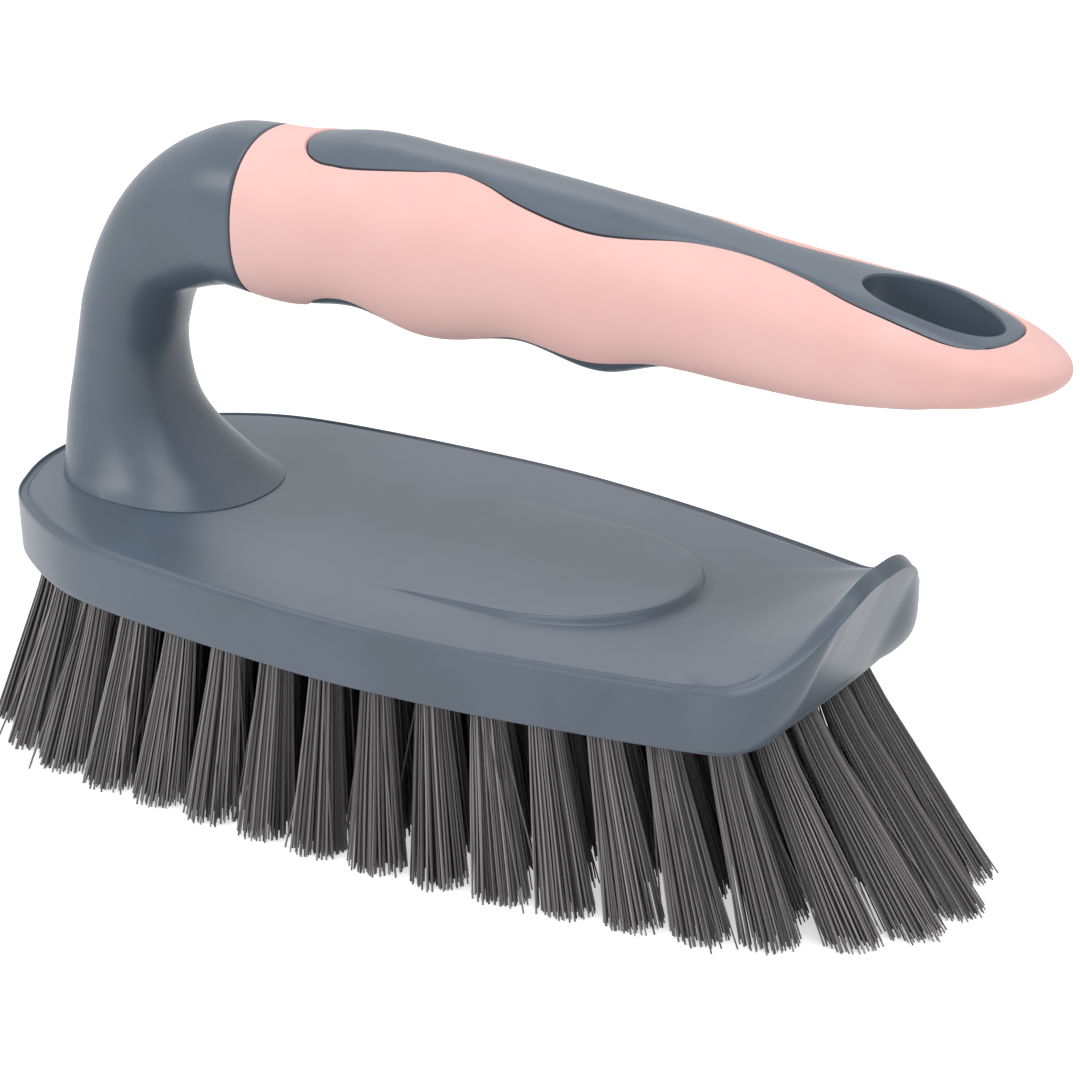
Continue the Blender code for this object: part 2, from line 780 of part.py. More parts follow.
def finish(obj, surface):
    """Gives an object its one material and smooth shading with sharp edges."""
    obj.data.materials.clear()
    obj.data.materials.append(surface)
    obj.data.shade_smooth()
    obj.data.set_sharp_from_angle(angle=SHARP_ANGLE)


def main():
    for obj in list(bpy.data.objects):
        bpy.data.objects.remove(obj, do_unlink=True)
    scene_collection = bpy.context.scene.collection
    parts = bpy.data.collections.new("cleaning_brush")
    cutters = bpy.data.collections.new("cutters")
    scene_collection.children.link(parts)
    scene_collection.children.link(cutters)
    slate = material("slate_polypropylene", *SLATE_FINISH)
    pink = material("pink_elastomer", *PINK_FINISH)
    filament = material("grey_filament", *FILAMENT_FINISH)
    finish(make_block(parts, cutters), slate)
    finish(make_handle(parts, cutters), slate)
    finish(make_sleeve(parts, cutters), pink)
    for number, place in enumerate(tuft_places(), start=1):
        finish(make_tuft(number, place, parts, cutters), filament)


main()
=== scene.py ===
"""Looks of a hand scrubbing brush: a slate block with an upturned nose, an arched handle with a soft pink grip
and grey filaments set in tufts. Metres, +Z up, nose towards +X, standing on the bristle tips at Z = 0."""

import logging
import math
from dataclasses import dataclass, field
from enum import Enum

import bmesh
import bpy
import numpy as np
from mathutils import Matrix, Vector


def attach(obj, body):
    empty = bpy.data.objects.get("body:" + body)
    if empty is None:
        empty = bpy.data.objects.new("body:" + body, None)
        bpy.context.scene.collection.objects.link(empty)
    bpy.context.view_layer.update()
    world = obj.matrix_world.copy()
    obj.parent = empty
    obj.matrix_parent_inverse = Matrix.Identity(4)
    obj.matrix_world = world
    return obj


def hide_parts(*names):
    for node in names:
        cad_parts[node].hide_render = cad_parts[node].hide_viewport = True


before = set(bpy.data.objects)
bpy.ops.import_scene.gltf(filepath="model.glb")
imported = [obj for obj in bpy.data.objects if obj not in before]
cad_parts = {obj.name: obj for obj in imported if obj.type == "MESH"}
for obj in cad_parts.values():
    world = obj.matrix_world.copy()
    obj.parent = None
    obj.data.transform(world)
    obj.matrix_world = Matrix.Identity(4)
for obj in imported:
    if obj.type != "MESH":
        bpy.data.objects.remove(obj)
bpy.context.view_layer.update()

logging.basicConfig(level=logging.INFO, format="%(name)s: %(message)s")
log = logging.getLogger("cleaning_brush")

MM = 0.001
BLOCK_Z = min(v.co.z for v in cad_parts["brush_block"].data.vertices)
TUFT_NAMES = sorted(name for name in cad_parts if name.startswith("tuft_"))

MATH = "ShaderNodeMath"
VECTOR = "ShaderNodeVectorMath"
ATTRIBUTE = "GeometryNodeInputNamedAttribute"
FINE_MERGE = 0.004 * MM
SHUT = 1e-6  # Angle in radians under which the grip's window is shut.

Row = tuple[float, ...]
Table = tuple[Row, ...]
Colour = tuple[float, float, float, float]


class Slot(Enum):
    """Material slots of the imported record."""

    SLATE = "slate_polypropylene"
    PINK = "pink_elastomer"
    FILAMENT = "grey_filament"


class Body(Enum):
    """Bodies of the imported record. Nothing on the brush moves."""

    ROOT = "root"


# Shape helpers


def put(name: str, data: bpy.types.ID | None) -> bpy.types.Object:
    """Makes an object of some data and links it to the scene."""
    obj = bpy.data.objects.new(name, data)
    bpy.context.scene.collection.objects.link(obj)
    return obj


def put_scratch(name: str, bm: bmesh.types.BMesh) -> bpy.types.Object:
    """Makes a linked object of a scratch mesh, and frees the scratch mesh."""
    mesh = bpy.data.meshes.new(name)
    bm.to_mesh(mesh)
    bm.free()
    return put(name, mesh)


def mix(first: float, second: float, share: float) -> float:
    """The value that lies a share of the way from first to second."""
    return first + (second - first) * share


def smooth_step(value: float) -> float:
    """Eases a share between 0 and 1, clamped at both ends."""
    t = min(1.0, max(0.0, value))
    return t * t * (3 - 2 * t)


def signed_power(value: np.ndarray, power: float) -> np.ndarray:
    """Power of a value that keeps its sign, for superellipses."""
    return np.sign(value) * np.abs(value) ** power


def smooth_row(rows: Table, place: float) -> np.ndarray:
    """Reads a table of rows as smooth curves over its first column.

    Args:
        rows: Rows whose first value is the place and grows from row to row.
        place: Where to read the other columns.

    Returns:
        The other columns' values at the place.
    """
    table = np.asarray(rows)
    keys = table[:, 0]
    last = len(keys) - 1
    index = int(np.clip(np.searchsorted(keys, place, side="right") - 1, 0, last - 1))
    before, after = max(index - 1, 0), min(index + 2, last)
    span = keys[index + 1] - keys[index]
    t = (place - keys[index]) / span
    start, end = table[index, 1:], table[index + 1, 1:]
    slope_in = (end - table[before, 1:]) / (keys[index + 1] - keys[before])
    slope_out = (table[after, 1:] - start) / (keys[after] - keys[index])
    return (
        (2 * t**3 - 3 * t**2 + 1) * start
        + (t**3 - 2 * t**2 + t) * slope_in * span
        + (3 * t**2 - 2 * t**3) * end
        + (t**3 - t**2) * slope_out * span
    )


def smooth_loop(points: np.ndarray, steps: int) -> np.ndarray:
    """Closed smooth curve through plan points.

    Args:
        points: The loop's corners, one row each.
        steps: Points made for each stretch.

    Returns:
        The dense loop.
    """
    ahead = np.roll(points, -1, axis=0)
    after = np.roll(points, -2, axis=0)
    before = np.roll(points, 1, axis=0)
    span = np.linalg.norm(ahead - points, axis=1, keepdims=True)
    span_before = np.roll(span, 1, axis=0)
    span_after = np.roll(span, -1, axis=0)
    slope_in = (ahead - before) * span / (span + span_before)
    slope_out = (after - points) * span / (span + span_after)
    dense = []
    for k in range(steps):
        t = k / steps
        dense.append(
            points * (2 * t**3 - 3 * t**2 + 1)
            + slope_in * (t**3 - 2 * t**2 + t)
            + ahead * (3 * t**2 - 2 * t**3)
            + slope_out * (t**3 - t**2)
        )
    return np.stack(dense, axis=1).reshape(-1, points.shape[1])


def even_loop(points: np.ndarray, count: int) -> tuple[np.ndarray, np.ndarray]:
    """Spaces a closed loop evenly along its length.

    Args:
        points: A dense closed loop in plan, counter-clockwise.
        count: Number of points wanted.

    Returns:
        The spaced points and their outward normals.
    """
    closed = np.vstack([points, points[:1]])
    steps = np.linalg.norm(np.diff(closed, axis=0), axis=1)
    along = np.concatenate([[0.0], np.cumsum(steps)])
    goals = along[-1] * np.arange(count) / count
    spaced = np.stack([np.interp(goals, along, closed[:, k]) for k in (0, 1)], axis=1)
    run = np.roll(spaced, -1, axis=0) - np.roll(spaced, 1, axis=0)
    run /= np.linalg.norm(run, axis=1, keepdims=True)
    return spaced, np.stack([run[:, 1], -run[:, 0]], axis=1)


@dataclass
class MeshDraft:
    """A mesh in the making: points and faces that later become one object."""

    points: list[np.ndarray] = field(default_factory=list)
    faces: list[tuple[int, ...]] = field(default_factory=list)
    count: int = 0

    def add(self, ring: np.ndarray) -> np.ndarray:
        """Adds a run of points and returns their numbers."""
        self.points.append(np.asarray(ring, dtype=float).reshape(-1, 3))
        first = self.count
        self.count += len(self.points[-1])
        return np.arange(first, self.count)

    def bridge(self, low: np.ndarray, high: np.ndarray, closed: bool = True) -> None:
        """Adds the faces between two runs of equal count, or between a run and one point."""
        count = max(len(low), len(high))
        last = count if closed else count - 1
        for i in range(last):
            j = (i + 1) % count
            corners = (
                int(low[i % len(low)]),
                int(low[j % len(low)]),
                int(high[j % len(high)]),
                int(high[i % len(high)]),
            )
            self.faces.append(tuple(dict.fromkeys(corners)))

    def loft(self, rings: list[np.ndarray]) -> None:
        """Adds a closed body through rings of equal count, or of one point where it ends in a point.

        Args:
            rings: The rings, from one end to the other.
        """
        levels = [self.add(ring) for ring in rings]
        for low, high in zip(levels, levels[1:]):
            self.bridge(low, high)
        for end in (levels[0], levels[-1]):
            if len(end) > 1:
                self.faces.append(tuple(int(i) for i in end))

    def finish(self, name: str, merge: float = 1e-6, sharp: float = math.radians(50)) -> bpy.types.Object:
        """Makes the object: doubles merged, empty faces dropped, normals outward, smooth with sharp edges.

        Args:
            name: The object's name.
            merge: Distance under which points are one.
            sharp: Angle above which an edge stays sharp.

        Returns:
            The new object, linked to the scene.
        """
        mesh = bpy.data.meshes.new(name)
        points = np.vstack(self.points)
        mesh.from_pydata(points.tolist(), [], [face for face in self.faces if len(face) > 2])
        bm = bmesh.new()
        bm.from_mesh(mesh)
        bmesh.ops.remove_doubles(bm, verts=bm.verts, dist=merge)
        bmesh.ops.dissolve_degenerate(bm, edges=bm.edges, dist=merge)
        bmesh.ops.recalc_face_normals(bm, faces=bm.faces)
        bm.to_mesh(mesh)
        bm.free()
        obj = put(name, mesh)
        smooth(obj, sharp)
        return obj


def smooth(obj: bpy.types.Object, sharp: float) -> None:
    """Shades an object smooth, with edges above an angle kept sharp."""
    obj.data.shade_smooth()
    obj.data.set_sharp_from_angle(angle=sharp)


def cut(obj: bpy.types.Object, cutter: bpy.types.Object) -> None:
    """Cuts a helper out of an object, applies the cut and drops the helper."""
    modifier = obj.modifiers.new("Cut", "BOOLEAN")
    modifier.operation = "DIFFERENCE"
    modifier.solver = "EXACT"
    modifier.object = cutter
    graph = bpy.context.evaluated_depsgraph_get()
    result = bpy.data.meshes.new_from_object(obj.evaluated_get(graph))
    obj.modifiers.clear()
    obj.data = result
    bpy.data.objects.remove(cutter, do_unlink=True)


def dress(obj: bpy.types.Object, surface: bpy.types.Material, nodes: list[str]) -> None:
    """Gives a finished piece its material and its place in the frame.

    Args:
        obj: The finished piece.
        surface: The material of the whole piece.
        nodes: The CAD nodes that the piece stands for.
    """
    obj.data.materials.clear()
    obj.data.materials.append(surface)
    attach(obj, Body.ROOT.value)
    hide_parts(*nodes)
    obj.data.calc_loop_triangles()
    log.info("%s: %d triangles", obj.name, len(obj.data.loop_triangles))


# Finishes


def linear(code: str) -> Colour:
    """Linear colour of an sRGB hex code."""
    channels = [int(code[k : k + 2], 16) / 255 for k in (1, 3, 5)]
    scene = [c / 12.92 if c <= 0.04045 else ((c + 0.055) / 1.055) ** 2.4 for c in channels]
    return (*scene, 1.0)


def grey(level: float) -> Colour:
    """A neutral colour of a linear level."""
    return level, level, level, 1.0


@dataclass
class NodeBoard:
    """Small helper round a node tree."""

    tree: bpy.types.NodeTree

    def add(self, kind: str, settings: dict | None = None, inputs: dict | None = None) -> bpy.types.Node:
        """Adds a node.

        Args:
            kind: The node's type.
            settings: Properties of the node.
            inputs: Constants for its inputs or sockets that feed them, by the input's name or number.

        Returns:
            The new node.
        """
        node = self.tree.nodes.new(kind)
        for key, value in (settings or {}).items():
            setattr(node, key, value)
        for key, value in (inputs or {}).items():
            self.feed(node.inputs[key], value)
        return node

    def feed(self, target: bpy.types.NodeSocket, value: object) -> None:
        """Links a socket to an input, or sets the input to a constant."""
        if isinstance(value, bpy.types.NodeSocket):
            self.tree.links.new(value, target)
        else:
            target.default_value = value

    def work(self, kind: str, operation: str, *inputs: object) -> bpy.types.NodeSocket:
        """Adds a node that does one sum on sockets or constants, and returns its result."""
        return self.add(kind, {"operation": operation}, dict(enumerate(inputs))).outputs[0]


def set_stops(node: bpy.types.Node, *stops: tuple[float, Colour]) -> bpy.types.NodeSocket:
    """Gives a colour ramp its stops and returns its colour."""
    elements = node.color_ramp.elements
    while len(elements) < len(stops):
        elements.new(0.5)
    for element, (place, colour) in zip(elements, stops):
        element.position = place
        element.color = colour
    return node.outputs["Color"]


def new_material(name: str) -> tuple[bpy.types.Material, NodeBoard, bpy.types.Node]:
    """Makes a material with only its shader and output, and returns it with its board and shader."""
    made = bpy.data.materials.new(name)
    made.use_nodes = True
    return made, NodeBoard(made.node_tree), made.node_tree.nodes["Principled BSDF"]


@dataclass(frozen=True)
class MouldedSkin:
    """What the two moulded materials share: faint clouds in colour and roughness over a fine grain.

    The sizes are those of a cloud and of a grain. The stops are the noise levels where the two colours stand.
    The spread is how far the roughness goes below and above its middle.
    """

    name: str
    light: str
    dark: str
    roughness: float
    rough_spread: tuple[float, float]
    specular: float
    cloud_size: float
    cloud_detail: float
    cloud_stops: tuple[float, float]
    grain_size: float
    grain_detail: float
    grain_mix: float
    grain_height: float
    cloud_mix: float = 0.6
    grain_strength: float = 0.6
    extras: tuple[tuple[str, object], ...] = ()

    def material(self) -> bpy.types.Material:
        """Builds the material."""
        made, board, shader = new_material(self.name)
        place = board.add("ShaderNodeTexCoord").outputs["Object"]
        clouds, grain = (
            board.add(
                "ShaderNodeTexNoise",
                inputs={"Vector": place, "Scale": 1 / size, "Detail": detail, "Roughness": share},
            ).outputs["Fac"]
            for size, detail, share in (
                (self.cloud_size, self.cloud_detail, self.cloud_mix),
                (self.grain_size, self.grain_detail, self.grain_mix),
            )
        )
        ramp = board.add("ShaderNodeValToRGB", inputs={"Fac": clouds})
        low, high = self.cloud_stops
        below, above = self.rough_spread
        rough = board.add(
            "ShaderNodeMapRange",
            inputs={"Value": clouds, 3: self.roughness - below, 4: self.roughness + above},
        )
        bump = board.add(
            "ShaderNodeBump",
            inputs={"Strength": self.grain_strength, "Distance": self.grain_height, "Height": grain},
        )
        for key, value in (
            ("Base Color", set_stops(ramp, (low, linear(self.dark)), (high, linear(self.light)))),
            ("Roughness", rough.outputs["Result"]),
            ("Normal", bump.outputs["Normal"]),
            ("Specular IOR Level", self.specular),
            *self.extras,
        ):
            board.feed(shader.inputs[key], value)
        return made


@dataclass(frozen=True)
class MouldedPlastic(MouldedSkin):
    """Satin injection-moulded polypropylene: faint flow clouds, a fine spark-eroded grain, soft gloss."""

    name: str = "slate_polypropylene_satin"
    light: str = "#5A6675"
    dark: str = "#535F6B"
    roughness: float = 0.33
    rough_spread: tuple[float, float] = (0.04, 0.05)
    specular: float = 0.5
    cloud_size: float = 22 * MM
    cloud_detail: float = 4.0
    cloud_stops: tuple[float, float] = (0.35, 0.65)
    grain_size: float = 0.28 * MM
    grain_detail: float = 2.0
    grain_mix: float = 0.5
    grain_height: float = 0.012 * MM


@dataclass(frozen=True)
class SoftElastomer(MouldedSkin):
    """Overmoulded thermoplastic elastomer: matt pink skin with a velvety bloom and faint clouding."""

    name: str = "pink_elastomer_matt"
    light: str = "#F5C9C2"
    dark: str = "#F1C0B9"
    roughness: float = 0.58
    rough_spread: tuple[float, float] = (0.05, 0.06)
    specular: float = 0.35
    cloud_size: float = 16 * MM
    cloud_detail: float = 5.0
    cloud_stops: tuple[float, float] = (0.3, 0.7)
    grain_size: float = 0.35 * MM
    grain_detail: float = 3.0
    grain_mix: float = 0.6
    grain_height: float = 0.018 * MM
    extras: tuple[tuple[str, object], ...] = (
        ("Subsurface Weight", 0.12),
        ("Subsurface Radius", (1.0, 0.5, 0.4)),
        ("Subsurface Scale", 1.2 * MM),
        ("Sheen Weight", 0.12),
        ("Sheen Roughness", 0.5),
    )


@dataclass(frozen=True)
class ExtrudedFilament:
    """Drawn nylon monofilament: grey strands with a soft shine, with painted shade that makes them nearly black
    deep inside the tufts and darker near their roots.
    """

    name: str = "grey_nylon_filament"
    pale: str = "#AAA7A7"
    middle: str = "#858283"
    dark: str = "#3A3839"
    roughness: float = 0.38
    rough_spread: tuple[float, float] = (0.06, 0.1)
    tones: Row = (0.0, 0.45, 1.0)
    # Painted shade: depth darkens strands towards the middle of a tuft, shade darkens them near the root and a
    # little at the tip.
    depth: Table = ((0.0, 0.25), (0.75, 0.7), (1.0, 1.0))
    shade: Table = ((0.0, 0.55), (0.12, 1.0), (1.0, 0.92))

    def material(self) -> bpy.types.Material:
        """Builds the material from the strands' own attributes: tone, place in the tuft and place along. The last
        two paint shade: darker towards each tuft's middle and near the roots.
        """
        made, board, shader = new_material(self.name)
        tone, outer, along = (
            board.add("ShaderNodeAttribute", {"attribute_name": name}).outputs["Fac"]
            for name in ("tone", "outer", "along")
        )
        strand = tuple(zip(self.tones, (linear(code) for code in (self.dark, self.middle, self.pale))))
        colour = None
        # Painted shade by place in the tuft and place along the strand, multiplied with the strand's own random
        # tone.
        for factor, stops in (
            (outer, tuple((place, grey(level)) for place, level in self.depth)),
            (along, tuple((place, grey(level)) for place, level in self.shade)),
            (tone, strand),
        ):
            layer = set_stops(board.add("ShaderNodeValToRGB", inputs={"Fac": factor}), *stops)
            if colour is None:
                colour = layer
                continue
            colour = board.add(
                "ShaderNodeMix",
                {"data_type": "RGBA", "blend_type": "MULTIPLY"},
                {"Factor": 1.0, 6: layer, 7: colour},
            ).outputs[2]
        below, above = self.rough_spread
        rough = board.add(
            "ShaderNodeMapRange",
            inputs={"Value": tone, 3: self.roughness - below, 4: self.roughness + above},
        )
        board.feed(shader.inputs["Base Color"], colour)
        board.feed(shader.inputs["Roughness"], rough.outputs["Result"])
        return made


# Block


@dataclass
class BlockShell:
    """The moulded block: side wall, bead, upturned lip, crowned deck, tongue-shaped platform, drilled base."""

    length: float = 0.155
    width: float = 0.0752
    wall: float = 0.0106
    draft: float = 0.0007
    foot_radius: float = 0.0006
    edge_width: float = 0.0022
    bead_rise: float = 0.00045
    crown_rise: float = 0.0001
    lip_rise: float = 0.0150
    lip_reach: float = 0.0101
    lip_arc: float = 0.0360
    lip_rim_width: float = 0.0022
    lip_rim_fall: float = 0.0015
    lip_start: float = 0.87
    lip_deck_power: float = 2.4
    platform_nose: float = 0.052
    platform_rear: float = 0.002
    platform_round: float = 0.027
    platform_width: float = 0.0430
    platform_rise: float = 0.0017
    platform_slope: float = 0.0014
    bore: float = 0.0052
    bore_depth: float = 0.0060
    bore_sides: int = 20
    points: int = 384
    outline_steps: int = 24
    foot_steps: int = 5
    wall_steps: int = 22
    wall_power: float = 1.6
    wall_start: float = 1.2
    deck_steps: int = 24
    slope_steps: int = 8
    top_steps: int = 12
    arc_steps: int = 180
    parallel: float = 1e-12
    corner_slack: float = 1e-6
    sharp: float = math.radians(35)
    outline: Table = (
        (0.5000, 0.000), (0.4995, 0.210), (0.4982, 0.372), (0.4962, 0.520), (0.4900, 0.635),
        (0.4755, 0.710), (0.4480, 0.752), (0.3920, 0.802), (0.3300, 0.852), (0.2050, 0.940),
        (0.0900, 0.988), (0.0150, 1.000), (-0.0500, 0.993), (-0.1800, 0.958), (-0.2970, 0.898),
        (-0.3560, 0.822), (-0.4240, 0.650), (-0.4600, 0.505), (-0.4820, 0.310), (-0.4930, 0.155),
        (-0.4965, 0.000),
    )
    lip: Table = (
        (0.000, 0.990, 0.965, 1.0), (0.139, 0.993, 0.995, 1.0), (0.250, 0.903, 0.967, 1.0),
        (0.361, 0.718, 0.847, 1.1), (0.472, 0.503, 0.679, 2.1), (0.583, 0.318, 0.507, 3.9),
        (0.694, 0.176, 0.345, 5.8), (0.806, 0.085, 0.180, 6.8), (0.917, 0.020, 0.030, 6.8),
        (1.000, 0.000, 0.000, 6.8),
    )
    rim: Table = (
        (0.000, 1.30, 0.000, 1.14), (0.015, 0.55, 0.010, 1.08), (0.050, 0.12, 0.030, 1.03),
        (0.100, 0.00, 0.060, 1.00), (0.150, 0.12, 0.100, 0.99), (0.185, 0.55, 0.125, 0.99),
        (0.210, 1.00, 0.145, 0.98), (0.260, 1.25, 0.190, 0.93), (0.450, 1.30, 0.280, 0.78),
        (0.620, 1.20, 0.420, 0.54), (0.740, 0.85, 0.560, 0.34), (0.840, 0.25, 0.720, 0.16),
        (0.920, -0.30, 0.880, 0.04), (1.000, -0.60, 1.000, 0.00),
    )

    def deck_height(self, x: np.ndarray, y: np.ndarray) -> np.ndarray:
        """Height of the crowned deck in the frame, away from the lip."""
        crown = self.crown_rise * (1 - (2 * y / self.width) ** 2)
        return BLOCK_Z + self.wall - self.bead_rise * self.rim[-1][1] + crown

    def edge(self) -> tuple[np.ndarray, np.ndarray, np.ndarray]:
        """Plan points of the block's edge, their outward normals and the lip's shares and curl at each."""
        side = np.array([(x * self.length, y * self.width / 2) for x, y in self.outline])
        loop = np.vstack([side, side[-2:0:-1] * (1, -1)])
        dense = smooth_loop(loop, self.outline_steps)
        places, normals = even_loop(dense, self.points)
        around = np.linalg.norm(dense - np.roll(dense, 1, axis=0), axis=1).sum()
        along = around * np.arange(self.points) / self.points
        shares = np.minimum(1, np.minimum(along, around - along) / self.lip_arc)
        rows = np.array([smooth_row(self.lip, share) for share in shares])
        return places, normals, rows

    def wall_ring(self, share: float, inset: float = 0.0, lift: float = 0.0) -> np.ndarray:
        """One ring of the side wall, which curls out at the lip.

        Args:
            share: Share of the height to where the rim starts.
            inset: How far it lies inside the outline.
            lift: How far it lies above that height.

        Returns:
            The ring's points.
        """
        places, normals, rows = self.edge()
        rise, reach, curl = rows.T
        lean = self.lip_reach * reach * (1 - (1 - share) ** curl)
        lean += self.draft * np.abs(normals[:, 1]) * (1 - reach) * share
        _, bead_drop, _, lip_drop = self.rim[0]
        drop = mix(self.bead_rise * bead_drop, self.lip_rim_fall * lip_drop, np.sqrt(np.maximum(rise, 0)))
        top = self.wall + self.lip_rise * rise - drop
        plan = places + normals * (lean - inset)[:, None]
        return np.column_stack([plan, BLOCK_Z + top * share + lift])

    def rim_ring(self, bead_inset: float, bead_drop: float, lip_inset: float, lip_drop: float) -> np.ndarray:
        """One ring of the rim: bead and groove along the sides, which widen into the lip's rounded edge.

        Args:
            bead_inset: Share of the edge's width along the sides.
            bead_drop: Share of the bead's height under the wall's top there.
            lip_inset: Share of the rim's width in the lip's middle.
            lip_drop: Share of the rim's fall there.

        Returns:
            The ring's points.
        """
        places, normals, rows = self.edge()
        rise, reach, _ = rows.T
        full = np.sqrt(np.maximum(rise, 0))
        inset = mix(self.edge_width * bead_inset, self.lip_rim_width * lip_inset, full)
        drop = mix(self.bead_rise * bead_drop, self.lip_rim_fall * lip_drop, full)
        lean = self.lip_reach * reach + self.draft * np.abs(normals[:, 1]) * (1 - reach)
        plan = places + normals * (lean - inset)[:, None]
        return np.column_stack([plan, BLOCK_Z + self.wall + self.lip_rise * rise - drop])

    def platform_loop(self, rim: np.ndarray) -> np.ndarray:
        """Points of the platform's outline that face the rim's points, its two rear corners among them.

        Args:
            rim: The ring that the deck starts from.

        Returns:
            Plan points, one for each point of the rim.
        """
        centre_x = mix(self.platform_rear, self.platform_nose, 0.5)
        half = self.platform_width / 2
        round_x = self.platform_nose - self.platform_round
        angles = np.arctan2(rim[:, 1], rim[:, 0] - centre_x)
        corners = [(self.platform_rear, half), (self.platform_rear, -half)]
        turns = [math.pi * (k / self.arc_steps - 0.5) for k in range(self.arc_steps + 1)]
        arc = [(round_x + self.platform_round * math.cos(turn), half * math.sin(turn)) for turn in turns]
        closed = np.array(arc + corners + arc[:1])
        found = np.zeros((len(rim), 2))
        for i, angle in enumerate(angles):
            ray = np.array([math.cos(angle), math.sin(angle)])
            best = None
            for a, b in zip(closed, closed[1:]):
                edge = b - a
                base = a - (centre_x, 0)
                det = ray[0] * -edge[1] + ray[1] * edge[0]
                if abs(det) < self.parallel:
                    continue
                reach = (base[0] * -edge[1] + base[1] * edge[0]) / det
                share = (ray[0] * base[1] - ray[1] * base[0]) / det
                if reach > 0 and -self.corner_slack <= share <= 1 + self.corner_slack:
                    best = reach if best is None else min(best, reach)
            found[i] = (centre_x + ray[0] * best, ray[1] * best)
        for corner in corners:
            found[np.argmin(np.hypot(*(found - corner).T))] = corner
        return found

    def on_deck(self, plan: np.ndarray, rise: np.ndarray) -> np.ndarray:
        """Points over plan points, as high above the deck as the rise says."""
        return np.column_stack([plan, self.deck_height(plan[:, 0], plan[:, 1]) + rise])

    def shell(self) -> bpy.types.Object:
        """Lofts the block from its base to the middle of its platform."""
        rings = []
        for k in range(self.foot_steps + 1):
            turn = math.pi / 2 * k / self.foot_steps
            inset, lift = self.foot_radius * (1 - math.sin(turn)), self.foot_radius * (1 - math.cos(turn))
            rings.append(self.wall_ring(0, inset, lift))
        for k in range(1, self.wall_steps):
            share = (k / self.wall_steps) ** self.wall_power
            if share * self.wall > self.foot_radius * self.wall_start:
                rings.append(self.wall_ring(share))
        rings += [self.rim_ring(*shares) for shares in self.rim]
        rim = rings[-1]
        foot = self.platform_loop(rim)
        lift = rim[:, 2] - BLOCK_Z - self.wall + self.bead_rise * self.rim[-1][1]
        for k in range(1, self.deck_steps + 1):
            share = k / self.deck_steps
            sweep = max(0.0, 1 - share / self.lip_start) ** self.lip_deck_power
            rings.append(self.on_deck(rim[:, :2] * (1 - share) + foot * share, lift * sweep))
        span = self.platform_nose - self.platform_rear
        centre = np.array([mix(self.platform_rear, self.platform_nose, 0.5), 0.0])
        reach = np.linalg.norm(foot - centre, axis=1, keepdims=True)
        for k in range(1, self.slope_steps + 1):
            share = k / self.slope_steps
            plan = centre + (foot - centre) * (1 - self.platform_slope * share / reach)
            rise = self.platform_rise * smooth_step(share) * (foot[:, 0] - self.platform_rear) / span
            rings.append(self.on_deck(plan, rise))
        top = plan
        for k in range(1, self.top_steps + 1):
            plan = centre + (top - centre) * (1 - k / self.top_steps) if k < self.top_steps else centre[None, :]
            rings.append(self.on_deck(plan, self.platform_rise * (plan[:, 0] - self.platform_rear) / span))
        draft = MeshDraft()
        draft.loft(rings)
        return draft.finish("block_shell", sharp=self.sharp)

    def drill(self, shell: bpy.types.Object, roots: list[Vector]) -> None:
        """Drills a blind hole up into the base for every tuft."""
        bm = bmesh.new()
        for root in roots:
            made = bmesh.ops.create_cone(
                bm,
                cap_ends=True,
                segments=self.bore_sides,
                radius1=self.bore / 2,
                radius2=self.bore / 2,
                depth=2 * self.bore_depth,
            )
            bmesh.ops.translate(bm, verts=made["verts"], vec=(root.x, root.y, BLOCK_Z))
        cut(shell, put_scratch("drills", bm))
        smooth(shell, self.sharp)

    def build(self, surface: bpy.types.Material, roots: list[Vector]) -> bpy.types.Object:
        """Makes the block and puts it in the frame."""
        shell = self.shell()
        self.drill(shell, roots)
        dress(shell, surface, ["brush_block"])
        return shell


# Handle


